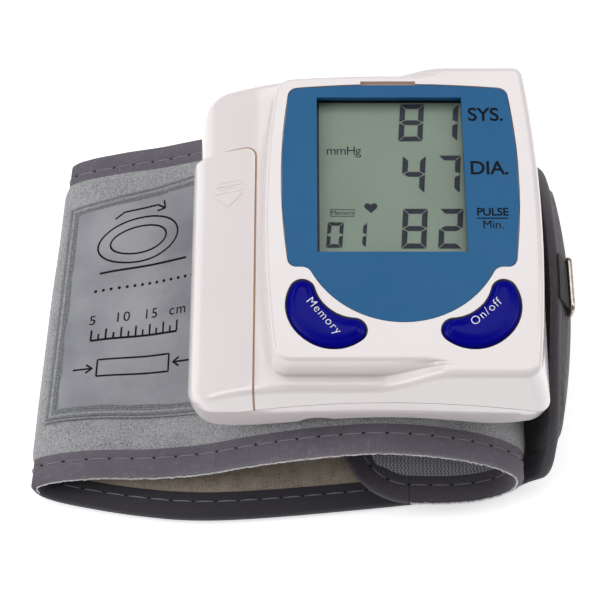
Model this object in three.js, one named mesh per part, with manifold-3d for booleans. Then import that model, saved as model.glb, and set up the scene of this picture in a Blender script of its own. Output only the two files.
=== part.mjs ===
// Wrist blood pressure monitor with its cuff folded under it, in millimetres, +Z up.
// x = 0 and y = 0 are the middle of the case, -y is the user's side, z = 0 is the table.
// At the end the whole group moves so that its origin is the bottom centre of its box.

import * as THREE from 'three';
import { mergeVertices } from 'three/addons/utils/BufferGeometryUtils.js';
import Module from 'manifold-3d';

const wasm = await Module();
wasm.setup();

// Shared clearances
const gap = 0.3;
const overrun = 5;

// Cells, contacts and springs
const cellRadius = 5.25;
const cellLength = 43.6;
const cellButtonRadius = 1.9;
const cellButtonLength = 0.9;
const cellWhole = cellLength + cellButtonLength;
const springLength = 3.9;
const springWire = 0.6;
const springTurns = 3;
const contactThickness = 0.5;
const contactWidth = 6;
const tabShare = 0.25;

// Case in plan: the battery bay and the bays at its two ends give the length
const caseWidth = 74.3;
const frontBay = 8.5;
const rearBay = 16.2;
const caseLength = frontBay + springLength + cellWhole + contactThickness + 2 * gap + rearBay;
const caseRight = caseWidth / 2;
const caseLeft = -caseWidth / 2;
const caseFront = -caseLength / 2;
const caseRear = caseLength / 2;
const caseWall = 1.8;
const sideDraft = 2.6;
const frontDraft = 2.2;
const rearDraft = 2.6;
const footDraft = 1.6;
const sideBow = 3.3;
const rearLeftRadius = 7;
const frontLeftRadius = 5.5;
const frontRightRadius = 3;
const rearRightRadius = 2;
const fixedShoulderStep = 1.5;

// Cuff strip, its layers and the plate that holds it against the arch
const cuffOverhang = 32.85;
const cuffReach = caseWidth / 2 + cuffOverhang;
const cuffRise = 26.5;
const cuffWidth = 81;
const cuffShift = 2.1;
const cuffFront = -cuffWidth / 2 - cuffShift;
const cuffForward = 5.6;
const cuffCone = 4.5;
const coneStartShare = -0.4;
const tailBowShare = 0.45;
const tailBowCentreShare = 0.52;
const tailFromShare = 0.75;
const tailPivotShare = 0.47;
const tailClearance = 2.4;
const tailTaperShare = 0.06;
const velourThickness = 1.6;
const liningThickness = 1.2;
const bindingWidth = 6;
const bindingThickness = 0.6;
const pinchedThickness = 0.7;
const pinchedLining = 0.5;
const bladderThickness = 2.2;
const bladderShares = [0.21, 0.41];
const seamShare = 0.44;
const flapRadius = 15;
const tailRadiusAlong = 28;
const tailRadiusAcross = 30;
const plateThickness = 1.6;
const plateMargin = 7;
const plateEnd = 9.1;
const hookWidth = 9;
const hookDepth = 1.8;
const hookHeight = 2.6;
const hookRoom = 2;

// Underside of the case: two lobes and between them the arch, which lies on the plate and the cuff
const archX = 4.5;
const arch = new THREE.Vector2(archX, cuffRise + velourThickness + plateThickness + 2 * gap);
const leftLobeInset = 10.55;
const leftLobeDrop = 6.7;
const rightLobeInset = 10.95;
const rightLobeDrop = 4.9;
const leftLobe = new THREE.Vector2(caseLeft + leftLobeInset, arch.y - leftLobeDrop);
const rightLobe = new THREE.Vector2(caseRight - rightLobeInset, arch.y - rightLobeDrop);
const lobeEase = 4;
const archEase = 2.2;
const sideRise = 1.7;
const sideLow = arch.y + sideRise;
const waistRise = 5.7;
const waistHeight = arch.y + waistRise;
const lobeRoom = 3.6;
const caseLow = leftLobe.y - lobeRoom;

// Joint between the two case halves, an arc seen from the front
const partingRise = 9.9;
const partingTop = arch.y + partingRise;
const partingRadius = 110;
const partingGap = 0.25;
const lipThickness = 0.7;
const lipHeight = 1.2;

// Cells side by side in the left lobe
const cellSideRoom = 1.9;
const cellFloor = 3.55;
const cellSpacing = 0.8;
const cellStep = 2.1;
const outerCell = new THREE.Vector2(caseLeft + caseWall + cellSideRoom + cellRadius,
  leftLobe.y + caseWall + cellFloor + cellRadius);
const innerCell = new THREE.Vector2(outerCell.x + 2 * cellRadius + cellSpacing, outerCell.y + cellStep);
const cellFront = caseFront + frontBay;
const outerCellFront = cellFront + springLength;
const frontPlate = cellFront - gap - contactThickness;
const rearPlate = outerCellFront + cellWhole + gap;

// Pump, valve, sensor, buzzer and air line; the pump lies in the right lobe
const motorRadius = 6;
const motorLength = 20;
const pumpHeadLength = 11;
const pumpHeadWidth = 12;
const pumpHeadHeight = 12.2;
const pumpHalfWidth = Math.max(motorRadius, pumpHeadWidth / 2);
const pumpHalfHeight = Math.max(motorRadius, pumpHeadHeight / 2);
const pumpSideRoom = 3.15;
const pumpFloor = 2.3;
const motorAxis = new THREE.Vector2(caseRight - caseWall - pumpSideRoom - pumpHalfWidth,
  rightLobe.y + caseWall + pumpFloor + pumpHalfHeight);
const motorBay = 15.1;
const motorFront = caseFront + motorBay;
const valveSize = new THREE.Vector3(9, 13, 8.4);
const valveSetback = 2;
const valveFront = motorFront + valveSetback;
const manifoldSize = new THREE.Vector3(9, 8, 6);
const manifoldSpacing = 15.6;
const manifoldInset = 21.6;
const manifoldCentre = new THREE.Vector2(motorAxis.x - manifoldSpacing, caseRear - manifoldInset);
const portLength = 2.4;
const tubeRadius = 1.9;
const pumpTubeShares = [0.25, 0.6, 0.9];
const nippleRadius = 2.2;
const nippleBore = 1;
const sensorSize = new THREE.Vector3(8, 8, 3.6);
const sensorRoom = new THREE.Vector2(5.7, 12);
const buzzerRadius = 6;
const buzzerHeight = 3.2;
const buzzerRoom = new THREE.Vector2(7.3, 2);
const chipSize = new THREE.Vector3(10, 10, 1.2);
const chipFrontRoom = 16.2;

// Board over the pump and the cells and, upwards from it, the display and the bezel: together they give
// the head's height
const boardRoom = 0.7;
const boardThickness = 1.6;
const boardTop = boardRoom + boardThickness
  + Math.max(motorAxis.y + pumpHalfHeight, innerCell.y + cellRadius);
const zebraHeight = 3.05;
const zebraWidth = 1.6;
const glassThickness = 1.8;
const glassDepth = 1.0;
const glassMargin = 1.4;
const frameMargin = 2.5;
const lensMargin = 1.2;
const lensThickness = 0.8;
const panelThickness = 1.2;
const panelDepth = 0.15;
const glassTop = boardTop + zebraHeight + glassThickness;
const lensLow = glassTop + glassDepth;
const recessFloor = lensLow + lensThickness;
const panelTop = recessFloor + panelThickness;
const headTop = panelTop + panelDepth;
const headTopWall = 2.6;
const ceiling = headTop - headTopWall;
const headRise = 6.5;
const ledgeHeight = headTop - headRise;
const shoulderRadiusX = 22.2;
const shoulderRadiusZ = 11.5;
const sweepStartInset = 36.15;
const sweepEndInset = 20.65;
const sweepStartX = caseRight - sweepStartInset;
const sweepEndX = caseRight - sweepEndInset;

// Raised display head in plan, placed by its distances from the case's sides
const headLeftInset = 18.35;
const headRightInset = 5.85;
const headFrontInset = 4.9;
const headRearInset = 5.2;
const headLeft = caseLeft + headLeftInset;
const headRight = caseRight - headRightInset;
const headFront = caseFront + headFrontInset;
const headRear = caseRear - headRearInset;
const headBow = new THREE.Vector2(2.3, 3.3);
const headRearBow = 1;
const headRadius = 3;
const headEdge = 1.6;
const headDraft = 0.7;

// Blue bezel, set in from the head's sides. The keys lie on an arc about keyCentre that keeps clear of the
// head's sides, and the bezel's round chin lies inside that arc. The window is set in from the bezel's sides.
const panelInset = { left: 2.6, right: 2, rear: 2.5 };
const panelLeft = headLeft + panelInset.left;
const panelRight = headRight - panelInset.right;
const panelRear = headRear - panelInset.rear;
const panelBow = 1.6;
const panelRearBow = 1.1;
const panelRadius = 1.6;
const chinFillet = 2.2;
const chinTopShare = 0.25;
const keyAngle = { memory: THREE.MathUtils.degToRad(-129.5), power: THREE.MathUtils.degToRad(-50.5) };
const keyHalfSweep = THREE.MathUtils.degToRad(21);
const keyMargin = 2.1;
const keyDepth = 7.9;
const keySideRoom = 0.69;
const keySwellShare = 1 / 3;
const keyFrontRoom = 3;
const keyPanelRoom = 2.68;
const keyOuter = ((panelRight - panelLeft) / 2 + keySideRoom) / Math.cos(-keyAngle.power - keyHalfSweep / 2);
const keyInner = keyOuter - keyDepth;
const chinRadius = keyInner - keyMargin;
const chinDrop = keyInner * Math.sin(-keyAngle.power - keyHalfSweep) - keyPanelRoom;
const keyCentre = new THREE.Vector2((panelLeft + panelRight) / 2,
  headFront + keyFrontRoom + keyOuter * Math.sin(-keyAngle.power + keyHalfSweep * keySwellShare));
const chipCentre = new THREE.Vector2(keyCentre.x, headFront + chipFrontRoom);
const panelFront = keyCentre.y - chinDrop;
const windowInset = { left: 5.7, right: 9.4, front: 3.3, rear: 2 };
const windowLeft = panelLeft + windowInset.left;
const windowRight = panelRight - windowInset.right;
const windowFront = panelFront + windowInset.front;
const windowRear = panelRear - windowInset.rear;
const windowWidth = windowRight - windowLeft;
const windowLength = windowRear - windowFront;
const windowCentre = new THREE.Vector2((windowLeft + windowRight) / 2, (windowFront + windowRear) / 2);

// Keys with a swollen outer side, and their switches
const keySwell = 0.45;
const keyProud = 0.9;
const keyDome = 0.7;
const keyChamferShare = 1 / 3;
const keyTravel = 0.8;
const flangeWidth = 0.6;
const flangeThickness = 0.8;
const stemRadius = 1.6;
const switchSize = 6;
const switchHeight = 2.2;
const switchFloor = 0.3;
const plungerRadius = 1.5;
const plungerProud = 1;

// Board in plan, set in from the head's sides
const boardInset = { left: 2.2, right: 2.5, front: 5.6, rear: 2.3 };
const boardLeft = headLeft + boardInset.left;
const boardRight = headRight - boardInset.right;
const boardFront = headFront + boardInset.front;
const boardRear = headRear - boardInset.rear;

// Battery cover and the bulkhead beside the cells
const coverThickness = 1.6;
const coverWidth = 14.35;
const coverRadius = 2.2;
const coverGap = 0.35;
const coverLedge = 2;
const coverRight = caseLeft + coverWidth;
const coverRear = rearPlate + contactThickness + gap;
const bulkheadRoom = 0.85;
const bulkheadX = innerCell.x + cellRadius + bulkheadRoom;
const bulkheadThickness = 1.2;
const sensorCentre = new THREE.Vector2(bulkheadX + sensorRoom.x, manifoldCentre.y - sensorRoom.y);
const buzzerCentre = new THREE.Vector2(bulkheadX + buzzerRoom.x, manifoldCentre.y + buzzerRoom.y);
const bulkheadDrop = 1;
const bulkheadTop = boardTop - boardThickness - bulkheadDrop;
const cellRibShares = [0.3, 0.7];

// Case screws and their posts
const screwInset = { left: 7.65, right: 8.95, rearRight: 9.95, rearLeft: 8.5, rear: 9.7, front: 6.1 };
const screwPlaces = [
  new THREE.Vector2(caseLeft + screwInset.left, caseRear - screwInset.rearLeft),
  new THREE.Vector2(caseRight - screwInset.rearRight, caseRear - screwInset.rear),
  new THREE.Vector2(caseRight - screwInset.right, caseFront + screwInset.front),
  new THREE.Vector2(keyCentre.x, caseFront + screwInset.front),
];
const screwRadius = 1.1;
const screwHeadRadius = 2.1;
const screwHeadHeight = 1.6;
const screwReach = 6;
const postRadius = 2.8;
const boardNotch = 2 * postRadius + 3 * gap;
const postWall = 1;
const headSeatRise = 3.1;

// Half-moon notch in the rear case's front edge, over the plate's end
const notchSetback = 14.5;
const notchRadius = 4.2;
const notchRise = 3.4;
const notchDepth = 6;

// Printed patch on the upper layer of the cuff
const labelThickness = 0.4;
const labelFront = 15;
const labelRearInset = 10;
const labelShares = [0.392, 0.505];

// Ring at the tail and the tape that holds it
const tapeWidth = 9.8;
const ringWire = 0.65;
const ringLength = tapeWidth + 2 * (2 * ringWire + gap);
const ringDrop = 4;
const ringCorner = 0.9;
const tapeShift = -0.4;
const tapeMiddle = cuffWidth / 2 + tapeShift;
const tapeThickness = 0.6;
const tapeStart = 0.3;
const tapeLength = 5;

// Sampling of curved surfaces
const weld = 1e-4;
const cornerSteps = 5;
const sideSteps = 3;
const arcSteps = 10;
const roundSides = 16;
const headEdgeShares = [0.35, 0.7, 1];
const runDivisions = 600;
const tipSteps = [6, 10];
const crossShares = [0, 0.1, 0.5, 0.9, 1];
const crossEndShares = [0, 0.5, 1];
const pinchedColumns = 3;
const stationTurn = 0.33;
const pumpTubeSteps = 18;
const screwSides = [10, 12];
const stationSpacing = 12;

// Colours, roughness and metalness of the materials
const finish = (color, roughness, metalness = 0) => (
  new THREE.MeshStandardMaterial({ color, roughness, metalness }));
const shellPlastic = finish(0xebe4e4, 0.25);
const keyPlastic = finish(0x0a0c8c, 0.2);
const bezelPlastic = finish(0x326896, 0.35);
const clearPlastic = finish(0xdfe6e2, 0.05);
const displayGlass = finish(0x808f7c, 0.2);
const darkPlastic = finish(0x26282c, 0.5);
const boardGreen = finish(0x1f6b3a, 0.45);
const rubber = finish(0xb9b7b0, 0.7);
const steel = finish(0xb8b9bb, 0.3, 1);
const nickel = finish(0xc9c3b8, 0.25, 1);
const cellJacket = finish(0x3c5a78, 0.35);
const velour = finish(0x9699a0, 0.95);
const knit = finish(0x96969b, 0.9);
const fleece = finish(0x696450, 0.97);
const twill = finish(0x69626e, 0.9);
const patchFilm = finish(0x9fa4b2, 0.5);
const tapeBlack = finish(0x2d2a2a, 0.85);

const monitor = new THREE.Group();

// Solids and meshes

function solidOf(geometry) {
  const bare = geometry.clone();
  bare.deleteAttribute('normal');
  bare.deleteAttribute('uv');
  const merged = mergeVertices(bare, weld);
  const vertProperties = new Float32Array(merged.attributes.position.array);
  const triVerts = new Uint32Array(merged.index.array);
  return new wasm.Manifold(new wasm.Mesh({ numProp: 3, vertProperties, triVerts }));
}

function geometryOf(solid) {
  const mesh = solid.getMesh();
  const geometry = new THREE.BufferGeometry();
  geometry.setAttribute('position', new THREE.BufferAttribute(mesh.vertProperties, 3));
  geometry.setIndex(new THREE.BufferAttribute(mesh.triVerts, 1));
  return geometry;
}

function add(name, shape, material) {
  const geometry = shape.isBufferGeometry ? shape : geometryOf(shape);
  geometry.computeVertexNormals();
  const mesh = new THREE.Mesh(geometry, material);
  mesh.name = name;
  monitor.add(mesh);
  return mesh;
}

function joined(solids) {
  return solids.reduce((whole, piece) => whole.add(piece));
}

function box(left, right, front, rear, low, high) {
  const geometry = new THREE.BoxGeometry(right - left, rear - front, high - low);
  return solidOf(geometry.translate((left + right) / 2, (front + rear) / 2, (low + high) / 2));
}

function upright(x, y, radius, low, high, sides = roundSides) {
  const geometry = new THREE.CylinderGeometry(radius, radius, high - low, sides);
  return solidOf(geometry.rotateX(Math.PI / 2).translate(x, y, (low + high) / 2));
}

function lying(x, z, radius, front, rear, sides = roundSides) {
  const geometry = new THREE.CylinderGeometry(radius, radius, rear - front, sides);
  return solidOf(geometry.translate(x, (front + rear) / 2, z));
}

function extruded(points, depth) {
  return new THREE.ExtrudeGeometry(new THREE.Shape(points), { depth, bevelEnabled: false });
}

function raised(points, low, high) {
  return solidOf(extruded(points, high - low).translate(0, 0, low));
}

// A profile drawn in x and z, run along y
function alongY(points, front, rear) {
  return solidOf(extruded(points, rear - front).rotateX(Math.PI / 2).translate(0, rear, 0));
}

function outwards(geometry) {
  const place = geometry.attributes.position;
  const order = geometry.index.array;
  const [a, b, c] = [new THREE.Vector3(), new THREE.Vector3(), new THREE.Vector3()];
  let volume = 0;
  for (let i = 0; i < order.length; i += 3) {
    a.fromBufferAttribute(place, order[i]);
    b.fromBufferAttribute(place, order[i + 1]);
    c.fromBufferAttribute(place, order[i + 2]);
    volume += a.dot(b.cross(c));
  }
  if (volume < 0) order.reverse();
  return geometry;
}

// A solid through a row of rings of equal length; closed rows join their last ring to the first
function loft(rings, closed = false) {
  const count = rings[0].length;
  const points = rings.flat().flatMap((point) => [point.x, point.y, point.z]);
  const order = [];
  const spans = closed ? rings.length : rings.length - 1;
  for (let i = 0; i < spans; i++) {
    const here = i * count;
    const next = ((i + 1) % rings.length) * count;
    for (let j = 0; j < count; j++) {
      const k = (j + 1) % count;
      order.push(here + j, here + k, next + k, here + j, next + k, next + j);
    }
  }
  if (!closed) {
    const last = (rings.length - 1) * count;
    const faces = THREE.ShapeUtils.triangulateShape(rings[0].map((p) => new THREE.Vector2(p.x, p.y)), []);
    for (const [a, b, c] of faces) {
      order.push(c, b, a);
      order.push(last + a, last + b, last + c);
    }
  }
  const geometry = new THREE.BufferGeometry();
  geometry.setAttribute('position', new THREE.Float32BufferAttribute(points, 3));
  geometry.setIndex(order);
  return outwards(geometry);
}

// Rounded rectangle with bowed sides; radii and bows run front right, rear right, rear left, front left
function bowedOutline(left, right, front, rear, radii, bowLeft, bowRight, bowFront, bowRear) {
  const corners = [
    [right, front, -1, 1, 1.5], [right, rear, -1, -1, 0], [left, rear, 1, -1, 0.5], [left, front, 1, 1, 1],
  ];
  const points = [];
  corners.forEach(([x, y, inX, inY, start], i) => {
    const radius = radii[i];
    const centre = new THREE.Vector2(x + inX * radius, y + inY * radius);
    for (let step = 0; step <= cornerSteps; step++) {
      const angle = Math.PI * (start + step / cornerSteps / 2);
      const spoke = new THREE.Vector2(Math.cos(angle), Math.sin(angle)).multiplyScalar(radius);
      points.push(spoke.add(centre));
    }
    const [nextX, nextY, nextInX, nextInY] = corners[(i + 1) % corners.length];
    const nextRadius = radii[(i + 1) % corners.length];
    const from = points[points.length - 1];
    const to = new THREE.Vector2(nextX, nextY);
    if (i % 2 === 0) to.y += nextInY * nextRadius;
    else to.x += nextInX * nextRadius;
    for (let step = 1; step < sideSteps; step++) points.push(from.clone().lerp(to, step / sideSteps));
  });
  const middle = new THREE.Vector2((left + right) / 2, (front + rear) / 2);
  const half = new THREE.Vector2((right - left) / 2, (rear - front) / 2);
  return points.map((point) => {
    const across = (point.x - middle.x) / half.x;
    const along = (point.y - middle.y) / half.y;
    const bowX = (across > 0 ? bowRight : bowLeft) * across * (1 - along * along);
    const bowY = (along > 0 ? bowRear : bowFront) * along * (1 - across * across);
    return new THREE.Vector2(point.x + bowX, point.y + bowY);
  });
}

function ringAt(outline, z) {
  return outline.map((point) => new THREE.Vector3(point.x, point.y, z));
}

function arcPoints(centre, radiusX, radiusY, from, to, steps = arcSteps) {
  return Array.from({ length: steps + 1 }, (_, i) => {
    const angle = from + (to - from) * i / steps;
    return new THREE.Vector2(centre.x + radiusX * Math.cos(angle), centre.y + radiusY * Math.sin(angle));
  });
}

// Case body: plan outlines stacked upwards, trimmed to the silhouette seen from the front
function stackedPlans(inset, left) {
  const levels = [
    [caseLow, footDraft, footDraft, footDraft, 0],
    [waistHeight, 0, 0, 0, 0],
    [headTop + overrun, sideDraft, frontDraft, rearDraft, 1],
  ];
  const radii = [frontRightRadius, rearRightRadius, rearLeftRadius, frontLeftRadius]
    .map((radius) => radius - inset / 2);
  const rings = levels.map(([z, side, front, rear, bowed]) => {
    const right = caseRight - side - inset - bowed * sideBow;
    const outline = bowedOutline(left + inset, right, caseFront + front + inset, caseRear - rear - inset,
      radii, 0, bowed * sideBow, 0, 0);
    return ringAt(outline, z);
  });
  return solidOf(loft(rings));
}

function silhouette(inset, left) {
  const leftX = left + inset;
  const rightX = caseRight - inset;
  const lobeL = leftLobe.y + inset;
  const lobeR = rightLobe.y + inset;
  const archZ = arch.y + inset;
  const shape = new THREE.Shape();
  shape.moveTo(left - overrun, sideLow);
  shape.lineTo(leftX, sideLow);
  shape.quadraticCurveTo(leftX + (leftLobe.x - leftX) / lobeEase, lobeL, leftLobe.x, lobeL);
  const reachL = (arch.x - leftLobe.x) / archEase;
  shape.bezierCurveTo(leftLobe.x + reachL / 2, lobeL, arch.x - reachL, archZ, arch.x, archZ);
  const reachR = (rightLobe.x - arch.x) / archEase;
  shape.bezierCurveTo(arch.x + reachR, archZ, rightLobe.x - reachR / 2, lobeR, rightLobe.x, lobeR);
  shape.quadraticCurveTo(rightX - (rightX - rightLobe.x) / lobeEase, lobeR, rightX, sideLow + caseWall);
  shape.lineTo(rightX + overrun, sideLow + caseWall);
  const lower = shape.getPoints(arcSteps / 2);
  const sweep = Array.from({ length: arcSteps + 1 }, (_, i) => {
    const share = 1 - i / arcSteps;
    const rise = (1 - Math.cos(Math.PI * share)) / 2;
    const x = THREE.MathUtils.lerp(sweepStartX, sweepEndX, share);
    return new THREE.Vector2(x, THREE.MathUtils.lerp(ledgeHeight, headTop, rise) - inset);
  });
  const centre = new THREE.Vector2(caseLeft + shoulderRadiusX, ledgeHeight - shoulderRadiusZ);
  const shoulder = arcPoints(centre, centre.x - leftX, shoulderRadiusZ - inset, Math.PI / 2, Math.PI);
  return [
    ...lower, new THREE.Vector2(rightX + overrun, headTop - inset), ...sweep, ...shoulder,
    new THREE.Vector2(left - overrun, centre.y),
  ];
}

function caseBody(inset, left = caseLeft) {
  const profile = alongY(silhouette(inset, left), caseFront - overrun, caseRear + overrun);
  return stackedPlans(inset, left).intersect(profile);
}

// The case is fixedShoulderStep narrower on the left behind the battery cover
function steppedBody(inset) {
  const [front, rear] = [caseFront - overrun, coverRear - inset];
  const wide = box(caseLeft - overrun, caseRight, front, rear, caseLow - overrun, headTop);
  return caseBody(inset, caseLeft + fixedShoulderStep).add(caseBody(inset).intersect(wide));
}

function headPlan(inset) {
  return bowedOutline(headLeft + inset, headRight - inset, headFront + inset, headRear - inset,
    Array(4).fill(headRadius), headBow.x, headBow.y, 0, headRearBow);
}

function headBody(inset, top, edge) {
  const low = ledgeHeight - caseWall - overrun;
  const rings = [ringAt(headPlan(inset - headDraft), low), ringAt(headPlan(inset), top - edge)];
  for (const turnShare of headEdgeShares) {
    const angle = turnShare * Math.PI / 2;
    const drawn = edge * (1 - Math.cos(angle));
    rings.push(ringAt(headPlan(inset + drawn), top - edge + edge * Math.sin(angle)));
  }
  return solidOf(loft(rings));
}

// Everything above or below the joint between the case halves, shifted up by lift
function partingPoints(lift) {
  const centre = new THREE.Vector2(arch.x, partingTop - partingRadius + lift);
  const half = Math.asin((caseWidth / 2 + arch.x + overrun) / partingRadius);
  const middle = Math.PI / 2;
  return arcPoints(centre, partingRadius, partingRadius, middle + half, middle - half, arcSteps * 2);
}

function abovePart(lift) {
  const arc = partingPoints(lift);
  const top = headTop + overrun;
  const points = [...arc, new THREE.Vector2(arc[arc.length - 1].x, top), new THREE.Vector2(arc[0].x, top)];
  return alongY(points, caseFront - overrun, caseRear + overrun);
}

function belowPart(lift) {
  const arc = partingPoints(lift);
  const low = caseLow - overrun;
  const points = [...arc, new THREE.Vector2(arc[arc.length - 1].x, low), new THREE.Vector2(arc[0].x, low)];
  return alongY(points, caseFront - overrun, caseRear + overrun);
}

const partingHigh = (x) => partingTop - partingRadius + Math.sqrt(partingRadius ** 2 - (x - arch.x) ** 2);

function coverPlan(grown) {
  const right = coverRight + grown;
  const rear = coverRear + grown;
  const radius = coverRadius + grown;
  const centre = new THREE.Vector2(right - radius, rear - radius);
  const corner = arcPoints(centre, radius, radius, 0, Math.PI / 2, cornerSteps);
  const left = caseLeft - overrun;
  const front = caseFront - overrun;
  return raised([new THREE.Vector2(left, front), new THREE.Vector2(right, front), ...corner,
    new THREE.Vector2(left, rear)], caseLow, headTop);
}

// Bezel outline: bowed plate whose chin is an arc about keyCentre
function panelOutline(grown) {
  const plate = bowedOutline(panelLeft - grown, panelRight + grown, panelFront - grown, panelRear + grown,
    Array(4).fill(panelRadius), panelBow, panelBow, 0, panelRearBow);
  const chinTop = keyCentre.y - chinRadius * chinTopShare;
  const upper = plate.filter(({ x, y }) => y > chinTop || Math.abs(x - keyCentre.x) > chinRadius);
  const radius = chinRadius + grown;
  const drop = keyCentre.y - (panelFront - grown);
  const reach = Math.sqrt((radius + chinFillet) ** 2 - (drop + chinFillet) ** 2);
  const turn = Math.atan2(drop + chinFillet, reach);
  const filletL = new THREE.Vector2(keyCentre.x - reach, panelFront - grown - chinFillet);
  const filletR = new THREE.Vector2(keyCentre.x + reach, filletL.y);
  const chin = [
    ...arcPoints(filletL, chinFillet, chinFillet, Math.PI / 2, turn, cornerSteps),
    ...arcPoints(keyCentre, radius, radius, Math.PI + turn, 2 * Math.PI - turn, arcSteps * 2),
    ...arcPoints(filletR, chinFillet, chinFillet, Math.PI - turn, Math.PI / 2, cornerSteps),
  ];
  const left = upper.filter((point) => point.x < keyCentre.x);
  const right = upper.filter((point) => point.x >= keyCentre.x);
  const byY = (a, b) => a.y - b.y;
  const rearPoints = upper.filter((point) => point.y > panelRear - panelRadius);
  const sides = (points) => points.filter((point) => point.y <= panelRear - panelRadius);
  rearPoints.sort((a, b) => b.x - a.x);
  return [...chin, ...sides(right).sort(byY), ...rearPoints, ...sides(left).sort(byY).reverse()];
}

function rectangle(centre, width, length) {
  return [[-1, -1], [1, -1], [1, 1], [-1, 1]].map(([x, y]) => (
    new THREE.Vector2(centre.x + x * width / 2, centre.y + y * length / 2)));
}

function keyOutline(angle, grown) {
  const inner = keyInner - grown;
  const depth = keyDepth + 2 * grown;
  const half = keyHalfSweep + grown / keyInner;
  const points = arcPoints(keyCentre, inner, inner, angle + half, angle - half, arcSteps);
  for (let i = 1; i < arcSteps * 2; i++) {
    const turn = Math.PI * i / (arcSteps * 2);
    const across = -Math.cos(turn);
    const radius = inner + depth * Math.sin(turn) ** (2 * keySwell);
    const at = angle + half * across;
    points.push(new THREE.Vector2(keyCentre.x + radius * Math.cos(at), keyCentre.y + radius * Math.sin(at)));
  }
  return points;
}

const keyMiddle = (angle) => new THREE.Vector2(Math.cos(angle), Math.sin(angle))
  .multiplyScalar(keyInner + keyDepth / 2).add(keyCentre);

// Screw posts: cylinders below, bosses above, with room for the screw
const seatFor = (place) => Math.min(arch.y + headSeatRise, partingHigh(place.x) - screwHeadHeight - postWall);

function postSolids() {
  return screwPlaces.map((place) => (
    upright(place.x, place.y, postRadius, caseLow, partingHigh(place.x) - partingGap - gap)));
}

function bossSolids() {
  return screwPlaces.map((place) => (
    upright(place.x, place.y, postRadius, partingHigh(place.x) + gap, headTop)));
}

function screwBores(radius) {
  return joined(screwPlaces.map((place) => (
    upright(place.x, place.y, radius, caseLow, partingHigh(place.x) + screwReach + gap, roundSides / 2))));
}

function buildFrontCase() {
  const outer = caseBody(0, caseLeft + fixedShoulderStep).add(headBody(0, headTop, headEdge));
  const inner = caseBody(caseWall, caseLeft + fixedShoulderStep)
    .add(headBody(caseWall, headTop - headTopWall, gap));
  const hollow = inner.subtract(box(sweepStartX - overrun, caseRight, caseFront, caseRear,
    headTop - headTopWall, headTop));
  const bosses = joined(bossSolids()).intersect(outer);
  let shell = outer.subtract(hollow).add(bosses).intersect(abovePart(partingGap / 2));
  shell = shell.subtract(coverPlan(coverGap));
  const lipBody = caseBody(lipThickness, caseLeft + fixedShoulderStep);
  shell = shell.subtract(lipBody.intersect(belowPart(lipHeight + gap)));
  const ledge = caseBody(coverThickness + gap).subtract(caseBody(coverThickness + gap + lipThickness * 2))
    .intersect(coverPlan(coverLedge)).subtract(coverPlan(-coverLedge)).intersect(abovePart(lipHeight + gap * 2))
    .intersect(box(caseLeft, coverRight + coverLedge, caseFront + caseWall * 2, caseRear, caseLow, headTop));
  shell = shell.add(ledge);
  const recess = raised(panelOutline(gap), recessFloor, headTop + overrun);
  const opening = raised(rectangle(windowCentre, windowWidth + 2 * (lensMargin + gap),
    windowLength + 2 * (lensMargin + gap)), boardTop, headTop);
  shell = shell.subtract(recess).subtract(opening);
  for (const angle of Object.values(keyAngle)) {
    shell = shell.subtract(raised(keyOutline(angle, gap), boardTop, headTop + overrun));
  }
  return shell.subtract(screwBores(screwRadius + gap));
}

function buildRearCase() {
  const outer = steppedBody(0);
  const cavity = steppedBody(caseWall);
  const shell = outer.subtract(cavity).intersect(belowPart(-partingGap / 2));
  const lip = steppedBody(lipThickness + gap).subtract(cavity)
    .intersect(belowPart(lipHeight)).intersect(abovePart(-lipHeight))
    .subtract(box(caseLeft, outerCell.x, coverRear, caseRear, caseLow, headTop));
  const front = caseFront + caseWall;
  const rear = rearPlate + contactThickness + gap + bulkheadThickness;
  const frontWall = frontPlate - gap;
  const endTop = partingHigh(outerCell.x) - lipHeight;
  const walls = joined([
    box(bulkheadX, bulkheadX + bulkheadThickness, front, rear, caseLow, bulkheadTop),
    box(caseLeft, bulkheadX + bulkheadThickness, rear - bulkheadThickness, rear, caseLow, endTop),
    box(caseLeft, bulkheadX + bulkheadThickness, frontWall - bulkheadThickness, frontWall, caseLow, endTop),
    ...cellRibShares.map((share) => {
      const y = cellFront + cellLength * share;
      return box(caseLeft, bulkheadX, y, y + bulkheadThickness, caseLow, outerCell.y);
    }),
  ]);
  const cells = joined([outerCell, innerCell].map((cell) => (
    lying(cell.x, cell.y, cellRadius + gap, frontWall, rear - bulkheadThickness))));
  const inside = joined([walls.subtract(cells), ...postSolids()]).intersect(outer).intersect(belowPart(-gap));
  let half = shell.add(lip).add(inside);
  for (const place of screwPlaces) {
    half = half.subtract(upright(place.x, place.y, screwHeadRadius + gap, caseLow - overrun, seatFor(place)));
  }
  half = half.subtract(screwBores(screwRadius + gap));
  half = half.subtract(upright(manifoldCentre.x, manifoldCentre.y, nippleRadius + gap, caseLow, boardTop));
  half = half.subtract(joined(hookBoxes(gap)));
  return half.subtract(lying(arch.x - notchSetback, leftLobe.y + notchRise, notchRadius,
    caseFront - overrun, caseFront + notchDepth));
}

function hookBoxes(grown) {
  const boxes = [];
  for (const side of [-1, 1]) {
    const y = side < 0 ? valveFront - hookRoom : manifoldCentre.y + manifoldSize.y / 2 + hookRoom;
    boxes.push(box(arch.x - hookWidth / 2 - grown, arch.x + hookWidth / 2 + grown,
      y - hookDepth / 2 - grown, y + hookDepth / 2 + grown,
      arch.y - plateThickness, arch.y + hookHeight + grown));
  }
  return boxes;
}

function buildCover() {
  const skin = caseBody(0).subtract(caseBody(coverThickness));
  const shell = skin.intersect(coverPlan(0)).intersect(abovePart(partingGap / 2));
  return shell.subtract(caseBody(lipThickness).intersect(belowPart(lipHeight + gap)));
}

// Electronics and keys
const switchTop = boardTop + switchHeight;
const plungerTop = switchTop + plungerProud;
const flangeTop = ceiling - gap;

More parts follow.
